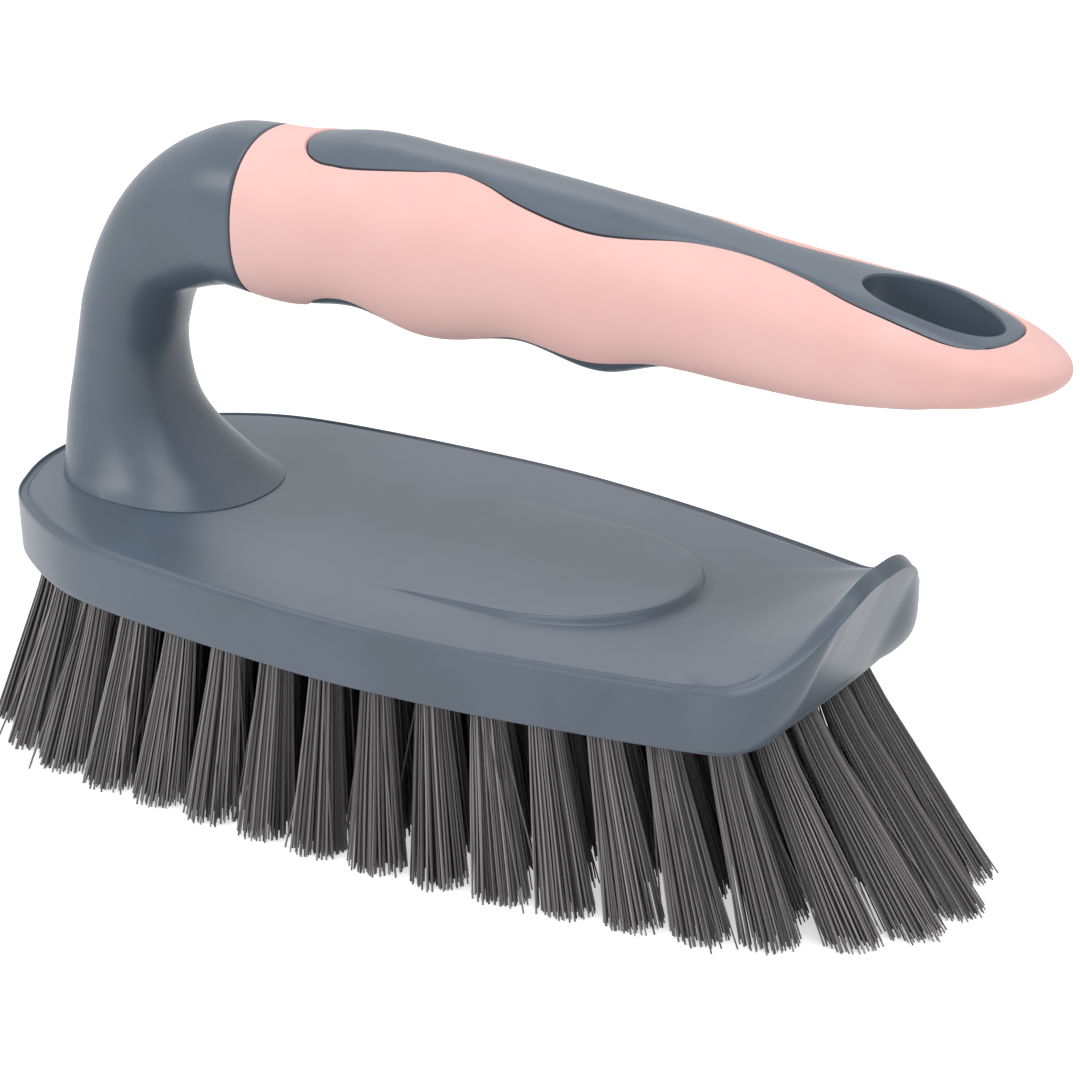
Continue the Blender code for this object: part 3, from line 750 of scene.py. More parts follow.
@dataclass
class HandlePath:
    """Axis and sections of the handle, from its foot to the grip's tip, by distance along the axis."""

    post_x: float = -0.060
    bend: float = 0.024
    axis_height: float = 0.0643
    foot_height: float = 0.01118
    grip_length: float = 0.153
    grip_depth: float = 0.0306
    grip_width: float = 0.0258
    post_depth: float = 0.0174
    post_width: float = 0.0206
    power: float = 2.25
    tip_start: float = 0.922
    tip_bend: float = 1.1
    tip_power: float = 2.25
    rear_cap: float = 0.068
    rear_cap_power: float = 2.2
    nose_cap: float = 0.104
    nose_cap_power: float = 2.4
    tip_run: float = 0.012
    window_rear: float = 0.0150
    window_nose: float = 0.0086
    window_width: float = 0.0190
    end_share: float = 0.03
    end_points: int = 60
    edge_points: int = 500
    widest_window: float = 0.999
    least_half: float = 1e-9
    least_depth: float = 1e-6
    least_run: float = 1e-18
    post_stations: Table = (
        (0.00, 0.68, 1.55, 1.63), (0.05, 0.68, 1.36, 1.50), (0.13, 0.68, 1.15, 1.38),
        (0.25, 0.67, 0.864, 1.24), (0.41, 0.64, 0.625, 1.12), (0.61, 0.58, 0.516, 1.03),
        (0.82, 0.51, 0.478, 1.00),
    )
    bend_stations: Table = (
        (0.00, 0.458, 0.540, 1.00), (0.17, 0.392, 0.600, 1.02), (0.34, 0.395, 0.675, 1.05),
        (0.50, 0.445, 0.790, 1.09), (0.66, 0.525, 0.840, 1.13), (0.83, 0.635, 0.860, 1.18),
    )
    grip_stations: Table = (
        (0.000, 0.422, 0.485, 0.980, 1.00), (0.078, 0.450, 0.508, 1.000, 1.00),
        (0.169, 0.524, 0.455, 0.985, 1.00), (0.260, 0.515, 0.532, 0.960, 1.00),
        (0.377, 0.486, 0.435, 0.940, 1.00), (0.475, 0.458, 0.503, 0.920, 1.02),
        (0.558, 0.420, 0.385, 0.920, 1.05), (0.649, 0.368, 0.373, 0.930, 1.10),
        (0.753, 0.318, 0.350, 0.950, 1.20), (0.844, 0.277, 0.286, 0.985, 1.30),
        (0.922, 0.170, 0.190, 0.879, 1.30), (0.945, 0.149, 0.166, 0.768, 1.21),
        (0.968, 0.118, 0.132, 0.610, 1.12), (0.990, 0.071, 0.079, 0.367, 1.00),
    )
    window_shares: Table = (
        (0.000, 0.00), (0.008, 0.45), (0.022, 0.74), (0.068, 0.91), (0.110, 0.90), (0.185, 0.70),
        (0.240, 0.54), (0.285, 0.62), (0.333, 0.79), (0.398, 0.89), (0.460, 0.90), (0.518, 0.81),
        (0.593, 0.57), (0.660, 0.48), (0.737, 0.62), (0.808, 0.87), (0.845, 0.97), (0.896, 1.03),
        (0.957, 0.89), (0.989, 0.55), (1.000, 0.00),
    )

    def __post_init__(self) -> None:
        """Works out the lengths of the post, the bend and the grip and the joined table of sections."""
        self.post_length = self.axis_height - self.bend - self.foot_height
        self.bend_length = math.pi / 2 * self.bend
        self.grip_start = self.post_length + self.bend_length
        self.total = self.grip_start + self.grip_length
        rows = []
        post, grip = (self.post_depth, self.post_width / 2), (self.grip_depth, self.grip_width / 2)
        for start, length, (depth, half), stations in (
            (0.0, self.post_length, post, self.post_stations),
            (self.post_length, self.bend_length, post, self.bend_stations),
            (self.grip_start, self.grip_length, grip, self.grip_stations),
        ):
            for share, above, below, width, *square in stations:
                power = self.power * (square[0] if square else 1)
                rows.append((start + share * length, depth * above, depth * below, half * width, power))
        self.rows = tuple(rows)
        self.rear_x = self.post_x + self.bend + self.window_rear
        self.nose_x = self.post_x + self.bend + self.grip_length - self.window_nose
        ends = np.linspace(0, self.end_share, self.end_points)
        middle = np.linspace(self.end_share, 1 - self.end_share, self.edge_points)[1:-1]
        xs = mix(self.rear_x, self.nose_x, np.concatenate([ends, middle, 1 - ends[::-1]]))
        self.window_edge = np.column_stack([xs, [self.half_window(value) for value in xs]])

    def axis(self, place: float) -> tuple[np.ndarray, np.ndarray]:
        """Point of the axis and the direction towards the handle's back, at a distance along it."""
        if place <= self.post_length:
            point = np.array([self.post_x, 0, BLOCK_Z + self.foot_height + place])
            return point, np.array([-1.0, 0, 0])
        start_x = self.post_x + self.bend
        if place < self.grip_start:
            turn = (place - self.post_length) / self.bend
            up = np.array([-math.cos(turn), 0, math.sin(turn)])
            centre = np.array([start_x, 0, BLOCK_Z + self.axis_height - self.bend])
            return centre + up * self.bend, up
        x = start_x + place - self.grip_start
        return np.array([x, 0, BLOCK_Z + self.axis_height]), np.array([0, 0, 1.0])

    def sizes(self, place: float) -> np.ndarray:
        """Depth above and below the axis, half width and power of the section at a distance along the axis."""
        last = self.rows[-1]
        turn_at = self.grip_start + self.tip_start * self.grip_length
        if place <= turn_at:
            return smooth_row(self.rows, place)
        start = smooth_row(self.rows, turn_at)
        share = min(1.0, (place - turn_at) / (self.total - turn_at))
        fall = max(0.0, 1 - share**self.tip_bend) ** (1 / self.tip_power)
        return np.array([*(start[:3] * fall), mix(start[3], last[4], share)])

    def half_window(self, x: float) -> float:
        """Half width of the grey window at a place along the brush, 0 outside it."""
        share = (x - self.rear_x) / (self.nose_x - self.rear_x)
        if share <= 0 or share >= 1:
            return 0.0
        inside = min(max(share, self.rear_cap), 1 - self.nose_cap)
        half = self.window_width / 2 * smooth_row(self.window_shares, inside)[0]
        if share < self.rear_cap:
            reach, power = 1 - share / self.rear_cap, self.rear_cap_power
        else:
            reach, power = max(0.0, 1 - (1 - share) / self.nose_cap), self.nose_cap_power
        return float(half * (1 - reach**power) ** (1 / power))

    def window_turn(self, place: float) -> float:
        """Angle from the section's top to the window's edge, at a distance along the axis."""
        if place <= self.grip_start:
            return 0.0
        x = self.post_x + self.bend + place - self.grip_start
        _, _, half, power = self.sizes(place)
        share = min(self.widest_window, self.half_window(x) / max(half, self.least_half))
        return math.asin(share ** (power / 2))

    def inner_place(self, place: float, wall: float) -> float:
        """Distance along the axis of an inner section, drawn back near the tip by the wall's thickness."""
        start = self.total - self.tip_run
        if place <= start:
            return place
        share = (place - start) / self.tip_run
        return mix(start, self.total - wall, share)

    def inner_sizes(self, place: float, wall: float) -> np.ndarray:
        """Sizes of the section under a wall, which close to a point near the tip."""
        sizes = self.sizes(place)
        start = self.total - self.tip_run
        first = self.sizes(min(place, start))
        share = (first[:3] - wall) / first[:3]
        return np.array([*(sizes[:3] * share), sizes[3]])

    def section(
        self, place: float, turns: np.ndarray, inset: np.ndarray | float, wall: float = 0.0
    ) -> np.ndarray:
        """Points of one section.

        Args:
            place: Distance along the axis.
            turns: Angles from the section's top, positive towards +Y.
            inset: How far each point lies under the skin, for small depths.
            wall: Thickness of the wall that the whole section lies under.

        Returns:
            The points, one row for each angle.
        """
        above, below, half, power = self.inner_sizes(place, wall) if wall else self.sizes(place)
        origin, up = self.axis(self.inner_place(place, wall) if wall else place)
        depth = (above + below) / 2
        centre = origin + up * (above - below) / 2
        rise = signed_power(np.cos(turns), 2 / power)
        side = signed_power(np.sin(turns), 2 / power)
        inset = np.broadcast_to(inset, turns.shape)
        normal_rise = signed_power(np.cos(turns), 2 - 2 / power) / max(depth, self.least_depth)
        normal_side = signed_power(np.sin(turns), 2 - 2 / power) / max(half, self.least_depth)
        size = np.hypot(normal_rise, normal_side)
        offset_rise = depth * rise - inset * normal_rise / size
        offset_side = half * side - inset * normal_side / size
        points = centre[None, :] + up[None, :] * offset_rise[:, None]
        points[:, 1] += offset_side
        return points

    def window_distance(self, x: np.ndarray, y: np.ndarray) -> np.ndarray:
        """Plan distance from points to the window's edge, for rounding what meets there."""
        start, run = self.window_edge[:-1], np.diff(self.window_edge, axis=0)
        length = np.maximum((run**2).sum(axis=1), self.least_run)
        found = []
        for point in np.column_stack([x, np.abs(y)]):
            share = np.clip(((point - start) * run).sum(axis=1) / length, 0, 1)
            found.append(np.sqrt((((start + run * share[:, None]) - point) ** 2).sum(axis=1)).min())
        return np.array(found)


@dataclass
class HandleSurface:
    """Rows and columns that the handle's body and its soft grip share."""

    path: HandlePath
    collar_share: float = 0.0380
    side_columns: int = 40
    window_columns: int = 14
    row_step: float = 1.3 * MM
    row_margin: float = 0.01 * MM
    row_apart: float = 0.015 * MM
    row_digits: int = 7
    window_steps: Row = (0.0, 0.04, 0.12, 0.25, 0.45, 0.7, 1.0, 1.4, 1.9, 2.5, 3.2, 4.0)
    tip_steps: Row = (0.0, 0.02, 0.05, 0.1, 0.18, 0.3, 0.5, 0.8, 1.2, 1.7, 2.3, 3.0, 3.8)

    def __post_init__(self) -> None:
        """Works out where the grip's collar starts."""
        self.collar = self.path.grip_start + self.collar_share * self.path.grip_length

    def place_of(self, x: float) -> float:
        """Distance along the axis of a place on the grip."""
        return self.path.grip_start + x - self.path.post_x - self.path.bend

    def rows(self, start: float, key: float, steps: Row) -> np.ndarray:
        """Distances along the axis at which sections are made, close together at the window's ends and the tip.

        Args:
            start: The first distance. The last one is the tip's.
            key: A place that gets close rows of its own.
            steps: How far those stand from it, in millimetres.

        Returns:
            The distances, in order.
        """
        end = self.path.total
        places = list(np.arange(start, end, self.row_step))
        for window in (self.place_of(self.path.rear_x), self.place_of(self.path.nose_x)):
            for step in self.window_steps:
                places += [window - step * MM, window + step * MM]
        places += [end - step * MM for step in self.tip_steps]
        low, high = start + self.row_margin, end - self.row_margin
        places = np.array(sorted(place for place in places if low < place < high))
        keep = np.concatenate([[True], np.diff(places) > self.row_apart])
        close = [key + step * MM for step in steps]
        places = np.concatenate([[start], places[keep], [end], close])
        return np.array(sorted(set(np.round(places, self.row_digits))))


def edge_round(distance: np.ndarray, radius: float) -> np.ndarray:
    """How far a rounded edge falls at a distance from it: a quarter circle."""
    away = np.clip(distance / radius, 0, 1)
    return radius * (1 - np.sqrt(np.clip(1 - (1 - away) ** 2, 0, 1)))


@dataclass
class HandleBody:
    """The hard moulding: flared foot, post, bend, collar and the bar whose strips fill the grip's windows."""

    surface: HandleSurface
    buried: float = 0.0027
    recess: float = 0.00025
    gap: float = 0.00012
    strip_round: float = 0.0005
    collar_round: float = 0.0006
    hole_setback: float = 0.0243
    hole_length: float = 0.0240
    hole_width: float = 0.0134
    hole_tilt: float = math.radians(9.2)
    hole_round: float = 0.0009
    hole_points: int = 96
    flare_steps: int = 7
    flare_share: float = 0.92
    overrun: Row = (-2.5, 3.0)
    face_guess: float = 0.25
    face_passes: int = 6
    bed: float = 0.02 * MM
    sharp: float = math.radians(40)
    strip_crowding: float = 1.6
    collar_steps: Row = (-1.5, -1.0, -0.7, -0.5, -0.35, -0.22, -0.12, -0.05, 0.0, 0.02, 0.3)

    def body(self, deck: BlockShell) -> bpy.types.Object:
        """Lofts the moulding from the deck to the tip."""
        rings = [self.ring(place) for place in self.surface.rows(0.0, self.surface.collar, self.collar_steps)]
        first = rings[0].copy()
        first[:, 2] = deck.deck_height(first[:, 0], first[:, 1]) + self.bed
        rings.insert(0, first)
        rings[-1] = rings[-1].mean(axis=0, keepdims=True)
        draft = MeshDraft()
        draft.loft(rings)
        return draft.finish("handle_body", merge=FINE_MERGE, sharp=self.sharp)

    def ring(self, place: float) -> np.ndarray:
        """One closed section of the moulding at a distance along the axis."""
        path, grid = self.surface.path, self.surface
        edge = path.window_turn(place)
        strip = np.linspace(-1, 1, grid.window_columns + 1)
        strip = np.sign(strip) * (1 - (1 - np.abs(strip)) ** self.strip_crowding)
        side = np.linspace(edge, math.pi - edge, grid.side_columns + 1)
        turns = np.concatenate([strip * edge, side, math.pi + strip * edge, math.pi + side])
        if place <= grid.collar:
            fall = edge_round(np.full_like(turns, grid.collar - place), self.collar_round)
            return path.section(place, turns, fall)
        buried = path.section(place, turns, 0.0, self.buried)
        if edge < SHUT:
            return buried
        skin = path.section(place, turns, 0.0)
        away = path.window_distance(skin[:, 0], skin[:, 1]) - self.gap
        fall = self.recess + edge_round(np.maximum(away, 0), self.strip_round)
        raised = path.section(place, turns, fall)
        first = len(strip)
        shown = np.zeros(len(turns), bool)
        shown[:first] = True
        shown[first + len(side) : 2 * first + len(side)] = True
        shown &= away > 0
        return np.where(shown[:, None], raised, buried)

    def hole_cutter(self) -> bpy.types.Object:
        """The hanging hole: an oval bore square to the grip's sloping end, flared where it meets the faces."""
        path = self.surface.path
        centre = np.array(
            [path.post_x + path.bend + path.grip_length - self.hole_setback, 0, BLOCK_Z + path.axis_height]
        )
        across = np.array([math.cos(self.hole_tilt), 0, -math.sin(self.hole_tilt)])
        up = np.array([math.sin(self.hole_tilt), 0, math.cos(self.hole_tilt)])
        turns = np.linspace(0, 2 * math.pi, self.hole_points, endpoint=False)
        plan_x = self.hole_length / 2 * np.cos(turns)
        plan_y = self.hole_width / 2 * np.sin(turns)
        faces = [self.face_height(centre, across, up, plan_x, plan_y, side) for side in (-1, 1)]
        steps = [(1.0, 0.0)]
        for k in range(1, self.flare_steps + 1):
            depth = 1 - math.sin(math.pi / 2 * k / self.flare_steps * self.flare_share)
            steps.append((depth, 1 - math.sqrt(max(0.0, 1 - (1 - depth) ** 2))))
        steps.append(self.overrun)
        rings = []
        for side, run in ((-1, steps[::-1]), (1, steps)):
            for depth, grow in run:
                wide = 1 + grow * self.hole_round / (self.hole_length / 2)
                broad = 1 + grow * self.hole_round / (self.hole_width / 2)
                height = faces[(side + 1) // 2] - side * depth * self.hole_round
                ring = centre + np.outer(plan_x * wide, across) + np.outer(height, up)
                ring[:, 1] += plan_y * broad
                rings.append(ring)
        draft = MeshDraft()
        draft.loft(rings)
        return draft.finish("hole_cutter")

    def face_height(
        self,
        centre: np.ndarray,
        across: np.ndarray,
        up: np.ndarray,
        plan_x: np.ndarray,
        plan_y: np.ndarray,
        side: int,
    ) -> np.ndarray:
        """Where the bore meets the grip's top or underside, along the bore.

        Args:
            centre: Middle of the bore.
            across: The bore's long direction.
            up: The bore's axis.
            plan_x: Places round the bore along its long direction.
            plan_y: Places round the bore across the brush.
            side: 1 for the top, -1 for the underside.

        Returns:
            The height of each place along the axis.
        """
        path = self.surface.path
        found = []
        for x, y in zip(plan_x, plan_y):
            height = side * path.grip_depth * self.face_guess
            for _ in range(self.face_passes):
                point = centre + across * x + up * height
                above, below, half, power = path.sizes(self.surface.place_of(point[0]))
                middle = BLOCK_Z + path.axis_height + (above - below) / 2
                share = (1 - min(1.0, abs(y) / half) ** power) ** (1 / power)
                skin = middle + side * (above + below) / 2 * share
                height += (skin - point[2]) / up[2]
            found.append(height)
        return np.array(found)

    def build(self, surface: bpy.types.Material, deck: BlockShell) -> bpy.types.Object:
        """Makes the moulding, cuts its hanging hole and puts it in the frame."""
        body = self.body(deck)
        cut(body, self.hole_cutter())
        smooth(body, self.sharp)
        dress(body, surface, ["handle_arm"])
        return body


@dataclass
class SoftGrip:
    """The soft overmoulding: a sleeve from the collar round the tip, with rounded edges at its two windows."""

    surface: HandleSurface
    thickness: float = 0.0024
    edge_radius: float = 0.0006
    start_gap: float = 0.00015
    start_steps: Row = (0.04, 0.1, 0.2, 0.32, 0.46, 0.6)
    sharp: float = math.radians(48)

    def build(self, finish: bpy.types.Material) -> bpy.types.Object:
        """Makes the sleeve and puts it in the frame."""
        path, grid = self.surface.path, self.surface
        start = grid.collar + self.start_gap
        draft = MeshDraft()
        outer, inner, edges = [], [], []
        for place in grid.rows(start, start, self.start_steps):
            edge = path.window_turn(place)
            edges.append(edge)
            near = (1 - np.cos(np.linspace(0, math.pi, grid.side_columns + 1))) / 2
            side = edge + (math.pi - 2 * edge) * near
            turns = np.concatenate([side, math.pi + side])
            points = path.section(place, turns, 0.0)
            away = np.minimum(path.window_distance(points[:, 0], points[:, 1]), place - start)
            fall = edge_round(away, self.edge_radius)
            outer.append(draft.add(path.section(place, turns, fall)))
            inner.append(draft.add(path.section(place, turns, 0.0, self.thickness)))
        half = grid.side_columns + 1
        for i in range(len(edges) - 1):
            for first in (0, half):
                run = slice(first, first + half)
                draft.bridge(outer[i][run], outer[i + 1][run], closed=False)
                draft.bridge(inner[i][run], inner[i + 1][run], closed=False)
            if edges[i] > SHUT or edges[i + 1] > SHUT:
                for column in (0, half - 1, half, 2 * half - 1):
                    sides = (np.array([rows[i][column], rows[i + 1][column]]) for rows in (outer, inner))
                    draft.bridge(*sides, closed=False)
        draft.bridge(outer[0], inner[0])
        sleeve = draft.finish("soft_grip", merge=FINE_MERGE, sharp=self.sharp)
        dress(sleeve, finish, ["grip_sleeve"])
        return sleeve


# Bristles


@dataclass
class BristleField:
    """Tufts of nylon filament, grown by one Geometry Nodes tree.

    The row along the block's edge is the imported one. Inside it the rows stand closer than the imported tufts, as
    drilled brushes have them, and together they stand for every packed tuft.
    """

    strands: int = 130
    thickness: float = 0.35 * MM
    root_radius: float = 2.4 * MM
    tip_radius: float = 5.0 * MM
    sink: float = 1.5 * MM
    sink_rate: float = 6.0
    stray: float = 6.0 * MM
    stray_power: float = 24.0
    stray_side: float = 0.4
    jitter: float = 0.35 * MM
    wave: float = 0.25 * MM
    uneven: float = 0.5 * MM
    uneven_power: float = 2.0
    tuft_turn: float = 1.7
    joints: int = 5
    sides: int = 4
    seed: int = 7
    edge_tufts: int = 35
    inner_rows: Row = (-20 * MM, -10 * MM, 0.0, 10 * MM, 20 * MM)
    inner_pitch: float = 10 * MM
    inner_reach: float = 66 * MM
    search_step: float = 0.5 * MM
    edge_clearance: float = 8.2 * MM
    level_margin: float = 0.01 * MM
    nearness_power: float = 1.5
    nearness_floor: float = 1e-6
    tuft_salts: tuple[int, int] = (31, 17)
    tuft_scale: float = 1e5
    tuft_numbers: int = 9973
    strand_numbers: int = 1000
    sharp: float = math.radians(60)

    def packed(self, name: str) -> tuple[Vector, Vector]:
        """Root and lean of a packed tuft."""
        points = np.array([v.co[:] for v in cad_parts[name].data.vertices])
        top = points[points[:, 2] > points[:, 2].max() - self.level_margin].mean(axis=0)
        tip = points[points[:, 2] < self.level_margin].mean(axis=0)
        return Vector((top[0], top[1], BLOCK_Z)), Vector((tip[0] - top[0], tip[1] - top[1], -BLOCK_Z))

    def places(self) -> list[tuple[Vector, Vector]]:
        """Root and lean of every tuft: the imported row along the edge, and the closer rows inside it."""
        known = [self.packed(name) for name in TUFT_NAMES]
        edge = known[: self.edge_tufts]
        found = list(edge)
        for y in self.inner_rows:
            x = self.inner_reach
            while x > -self.inner_reach:
                root = Vector((x, y, BLOCK_Z))
                if min((root - place).length for place, _ in edge) < self.edge_clearance:
                    x -= self.search_step
                    continue
                x -= self.inner_pitch
                apart = [(root - place).length_squared**self.nearness_power for place, _ in known]
                weights = [1 / (self.nearness_floor + value) for value in apart]
                lean = sum((offset * weight for weight, (_, offset) in zip(weights, known)), Vector())
                found.append((root, lean / sum(weights)))
        return found

    def tree(self, surface: bpy.types.Material) -> bpy.types.NodeTree:
        """Builds the node tree that grows strands from tuft points.

        Args:
            surface: The material that the tree sets.

        Returns:
            The tree, with its sizes as named inputs.
        """
        tree = bpy.data.node_groups.new("tuft_strands", "GeometryNodeTree")
        for way in ("INPUT", "OUTPUT"):
            tree.interface.new_socket("Geometry", in_out=way, socket_type="NodeSocketGeometry")
        for name, value in (
            ("Strands", self.strands),
            ("Thickness", self.thickness),
            ("Root Radius", self.root_radius),
            ("Tip Radius", self.tip_radius),
            ("Sink", self.sink),
            ("Stray", self.stray),
            ("Jitter", self.jitter),
            ("Wave", self.wave),
            ("Uneven", self.uneven),
            ("Seed", self.seed),
        ):
            kind = "NodeSocketInt" if isinstance(value, int) else "NodeSocketFloat"
            tree.interface.new_socket(name, in_out="INPUT", socket_type=kind).default_value = value
        board = NodeBoard(tree)
        sizes = board.add("NodeGroupInput").outputs
        points = board.add("GeometryNodeMeshToPoints", inputs={"Mesh": sizes["Geometry"]})
        copies = board.add(
            "GeometryNodeDuplicateElements",
            {"domain": "POINT"},
            {"Geometry": points.outputs[0], "Amount": sizes["Strands"]},
        ).outputs
        stored = copies["Geometry"]
        for name, kind, value in self.strand_values(board, sizes, copies["Duplicate Index"]):
            stored = board.add(
                "GeometryNodeStoreNamedAttribute",
                {"data_type": kind, "domain": "POINT"},
                {"Name": name, "Geometry": stored, "Value": value},
            ).outputs["Geometry"]
        line = board.add("GeometryNodeCurvePrimitiveLine").outputs[0]
        line = board.add("GeometryNodeResampleCurve", inputs={"Count": self.joints, "Curve": line})
        strands = board.add(
            "GeometryNodeInstanceOnPoints", inputs={"Points": stored, "Instance": line.outputs[0]}
        )
        curves = board.add("GeometryNodeRealizeInstances", inputs={"Geometry": strands.outputs[0]})
        along = board.add("GeometryNodeSplineParameter").outputs["Factor"]
        moved = board.add(
            "GeometryNodeSetPosition",
            inputs={"Geometry": curves.outputs[0], "Position": self.strand_point(board, sizes, along)},
        )
        moved = board.add(
            "GeometryNodeStoreNamedAttribute",
            {"data_type": "FLOAT", "domain": "POINT"},
            {"Name": "along", "Geometry": moved.outputs[0], "Value": along},
        )
        radius = board.work(MATH, "MULTIPLY", sizes["Thickness"], 0.5)
        ring = board.add(
            "GeometryNodeCurvePrimitiveCircle", inputs={"Resolution": self.sides, "Radius": radius}
        )
        tubes = board.add(
            "GeometryNodeCurveToMesh",
            inputs={"Fill Caps": True, "Curve": moved.outputs[0], "Profile Curve": ring.outputs[0]},
        )
        whole = board.add("GeometryNodeRealizeInstances", inputs={"Geometry": tubes.outputs[0]})
        done = board.add(
            "GeometryNodeSetMaterial", inputs={"Material": surface, "Geometry": whole.outputs[0]}
        )
        board.add("NodeGroupOutput", inputs={0: done.outputs[0]})
        return tree

    def strand_values(
        self, board: NodeBoard, sizes: bpy.types.NodeOutputs, index: bpy.types.NodeSocket
    ) -> tuple[tuple[str, str, bpy.types.NodeSocket], ...]:
        """Works out what each strand keeps: its two ends, its wave, its tone and how far out it stands.

        Args:
            board: The tree's board.
            sizes: The tree's inputs.
            index: The strand's number in its tuft.

        Returns:
            Name, kind and socket of each value.
        """
        tuft, lean = (
            board.add(ATTRIBUTE, {"data_type": kind}, {"Name": name}).outputs["Attribute"]
            for name, kind in (("tuft", "INT"), ("lean", "FLOAT_VECTOR"))
        )
        first = board.work(MATH, "MULTIPLY", tuft, self.strand_numbers)
        number = board.work(MATH, "ADD", first, index)

        def random(low: float, high: float, salt: int) -> bpy.types.NodeSocket:
            """A random number for each strand, from the seed and a salt."""
            seed = board.work(MATH, "ADD", sizes["Seed"], salt)
            inputs = {2: low, 3: high, "ID": number, "Seed": seed}
            return board.add("FunctionNodeRandomValue", {"data_type": "FLOAT"}, inputs).outputs[1]

        def scatter(power: float, salt: int, size: str) -> bpy.types.NodeSocket:
            """A random length up to a named size, the rarer near its full size the higher the power."""
            share = board.work(MATH, "POWER", random(0.0, 1.0, salt), power)
            return board.work(MATH, "MULTIPLY", share, sizes[size])

        def polar(radius: bpy.types.NodeSocket, angle: bpy.types.NodeSocket) -> bpy.types.NodeSocket:
            """A level offset from a radius and an angle."""
            x = board.work(MATH, "MULTIPLY", radius, board.work(MATH, "COSINE", angle))
            y = board.work(MATH, "MULTIPLY", radius, board.work(MATH, "SINE", angle))
            return board.add("ShaderNodeCombineXYZ", inputs={"X": x, "Y": y}).outputs[0]

        # A sunflower spacing fills the drilled hole evenly, as strands that are packed tight do.
        golden = board.work(MATH, "MULTIPLY", index, math.pi * (3 - math.sqrt(5)))
        turn = board.work(MATH, "ADD", golden, board.work(MATH, "MULTIPLY", tuft, self.tuft_turn))
        filled = board.work(MATH, "DIVIDE", board.work(MATH, "ADD", index, 0.5), sizes["Strands"])
        share = board.work(MATH, "SQRT", filled)
        place = board.add("GeometryNodeInputPosition").outputs[0]
        at_root, at_tip = (
            polar(board.work(MATH, "MULTIPLY", share, sizes[size]), turn)
            for size in ("Root Radius", "Tip Radius")
        )
        jitter = board.work(MATH, "MULTIPLY", random(0.0, 1.0, 2), sizes["Jitter"])
        reach = board.work(MATH, "ADD", scatter(self.stray_power, 4, "Stray"), jitter)
        stray = polar(reach, random(0.0, 2 * math.pi, 3))
        stray = board.work(VECTOR, "MULTIPLY", stray, (1.0, self.stray_side, 0.0))
        spread = board.work(VECTOR, "ADD", at_tip, stray)
        lift = board.add("ShaderNodeCombineXYZ", inputs={"Z": scatter(self.uneven_power, 5, "Uneven")})
        tip = board.work(VECTOR, "ADD", board.work(VECTOR, "ADD", place, lean), spread)
        swing = board.work(MATH, "MULTIPLY", random(-1.0, 1.0, 6), sizes["Wave"])
        return (
            ("root", "FLOAT_VECTOR", board.work(VECTOR, "ADD", place, at_root)),
            ("tip", "FLOAT_VECTOR", board.work(VECTOR, "ADD", tip, lift.outputs[0])),
            ("wave", "FLOAT_VECTOR", polar(swing, random(0.0, 2 * math.pi, 7))),
            ("tone", "FLOAT", random(0.0, 1.0, 8)),
            # How far out the strand stands, from which the filament paints shade towards the tuft's middle.
            ("outer", "FLOAT", board.work(MATH, "POWER", share, 2.0)),
        )

    def strand_point(
        self, board: NodeBoard, sizes: bpy.types.NodeOutputs, along: bpy.types.NodeSocket
    ) -> bpy.types.NodeSocket:
        """Works out a point of a strand from its ends and its wave, sunk into the block at the root.

        Args:
            board: The tree's board.
            sizes: The tree's inputs.
            along: Share of the strand's length, 0 at the root.

        Returns:
            The point's socket.
        """
        root, tip, wave = (
            board.add(ATTRIBUTE, {"data_type": "FLOAT_VECTOR"}, {"Name": name}).outputs["Attribute"]
            for name in ("root", "tip", "wave")
        )
        straight = board.add("ShaderNodeMix", {"data_type": "VECTOR"}, {"Factor": along, 4: root, 5: tip})
        swell = board.work(MATH, "SINE", board.work(MATH, "MULTIPLY", along, math.pi))
        swing = board.add("ShaderNodeVectorMath", {"operation": "SCALE"}, {0: wave, "Scale": swell})
        bent = board.work(VECTOR, "ADD", straight.outputs[1], swing.outputs[0])
        risen = board.work(MATH, "MINIMUM", 1.0, board.work(MATH, "MULTIPLY", along, self.sink_rate))
        depth = board.work(MATH, "MULTIPLY", board.work(MATH, "SUBTRACT", 1.0, risen), sizes["Sink"])
        sunk = board.add("ShaderNodeCombineXYZ", inputs={"Z": depth})
        return board.work(VECTOR, "ADD", bent, sunk.outputs[0])

    def number(self, root: Vector) -> int:
        """A tuft's own number, from its place alone, so that its strands don't depend on the other tufts."""
        first, second = self.tuft_salts
        return round((root.x * first + root.y * second) * self.tuft_scale) % self.tuft_numbers

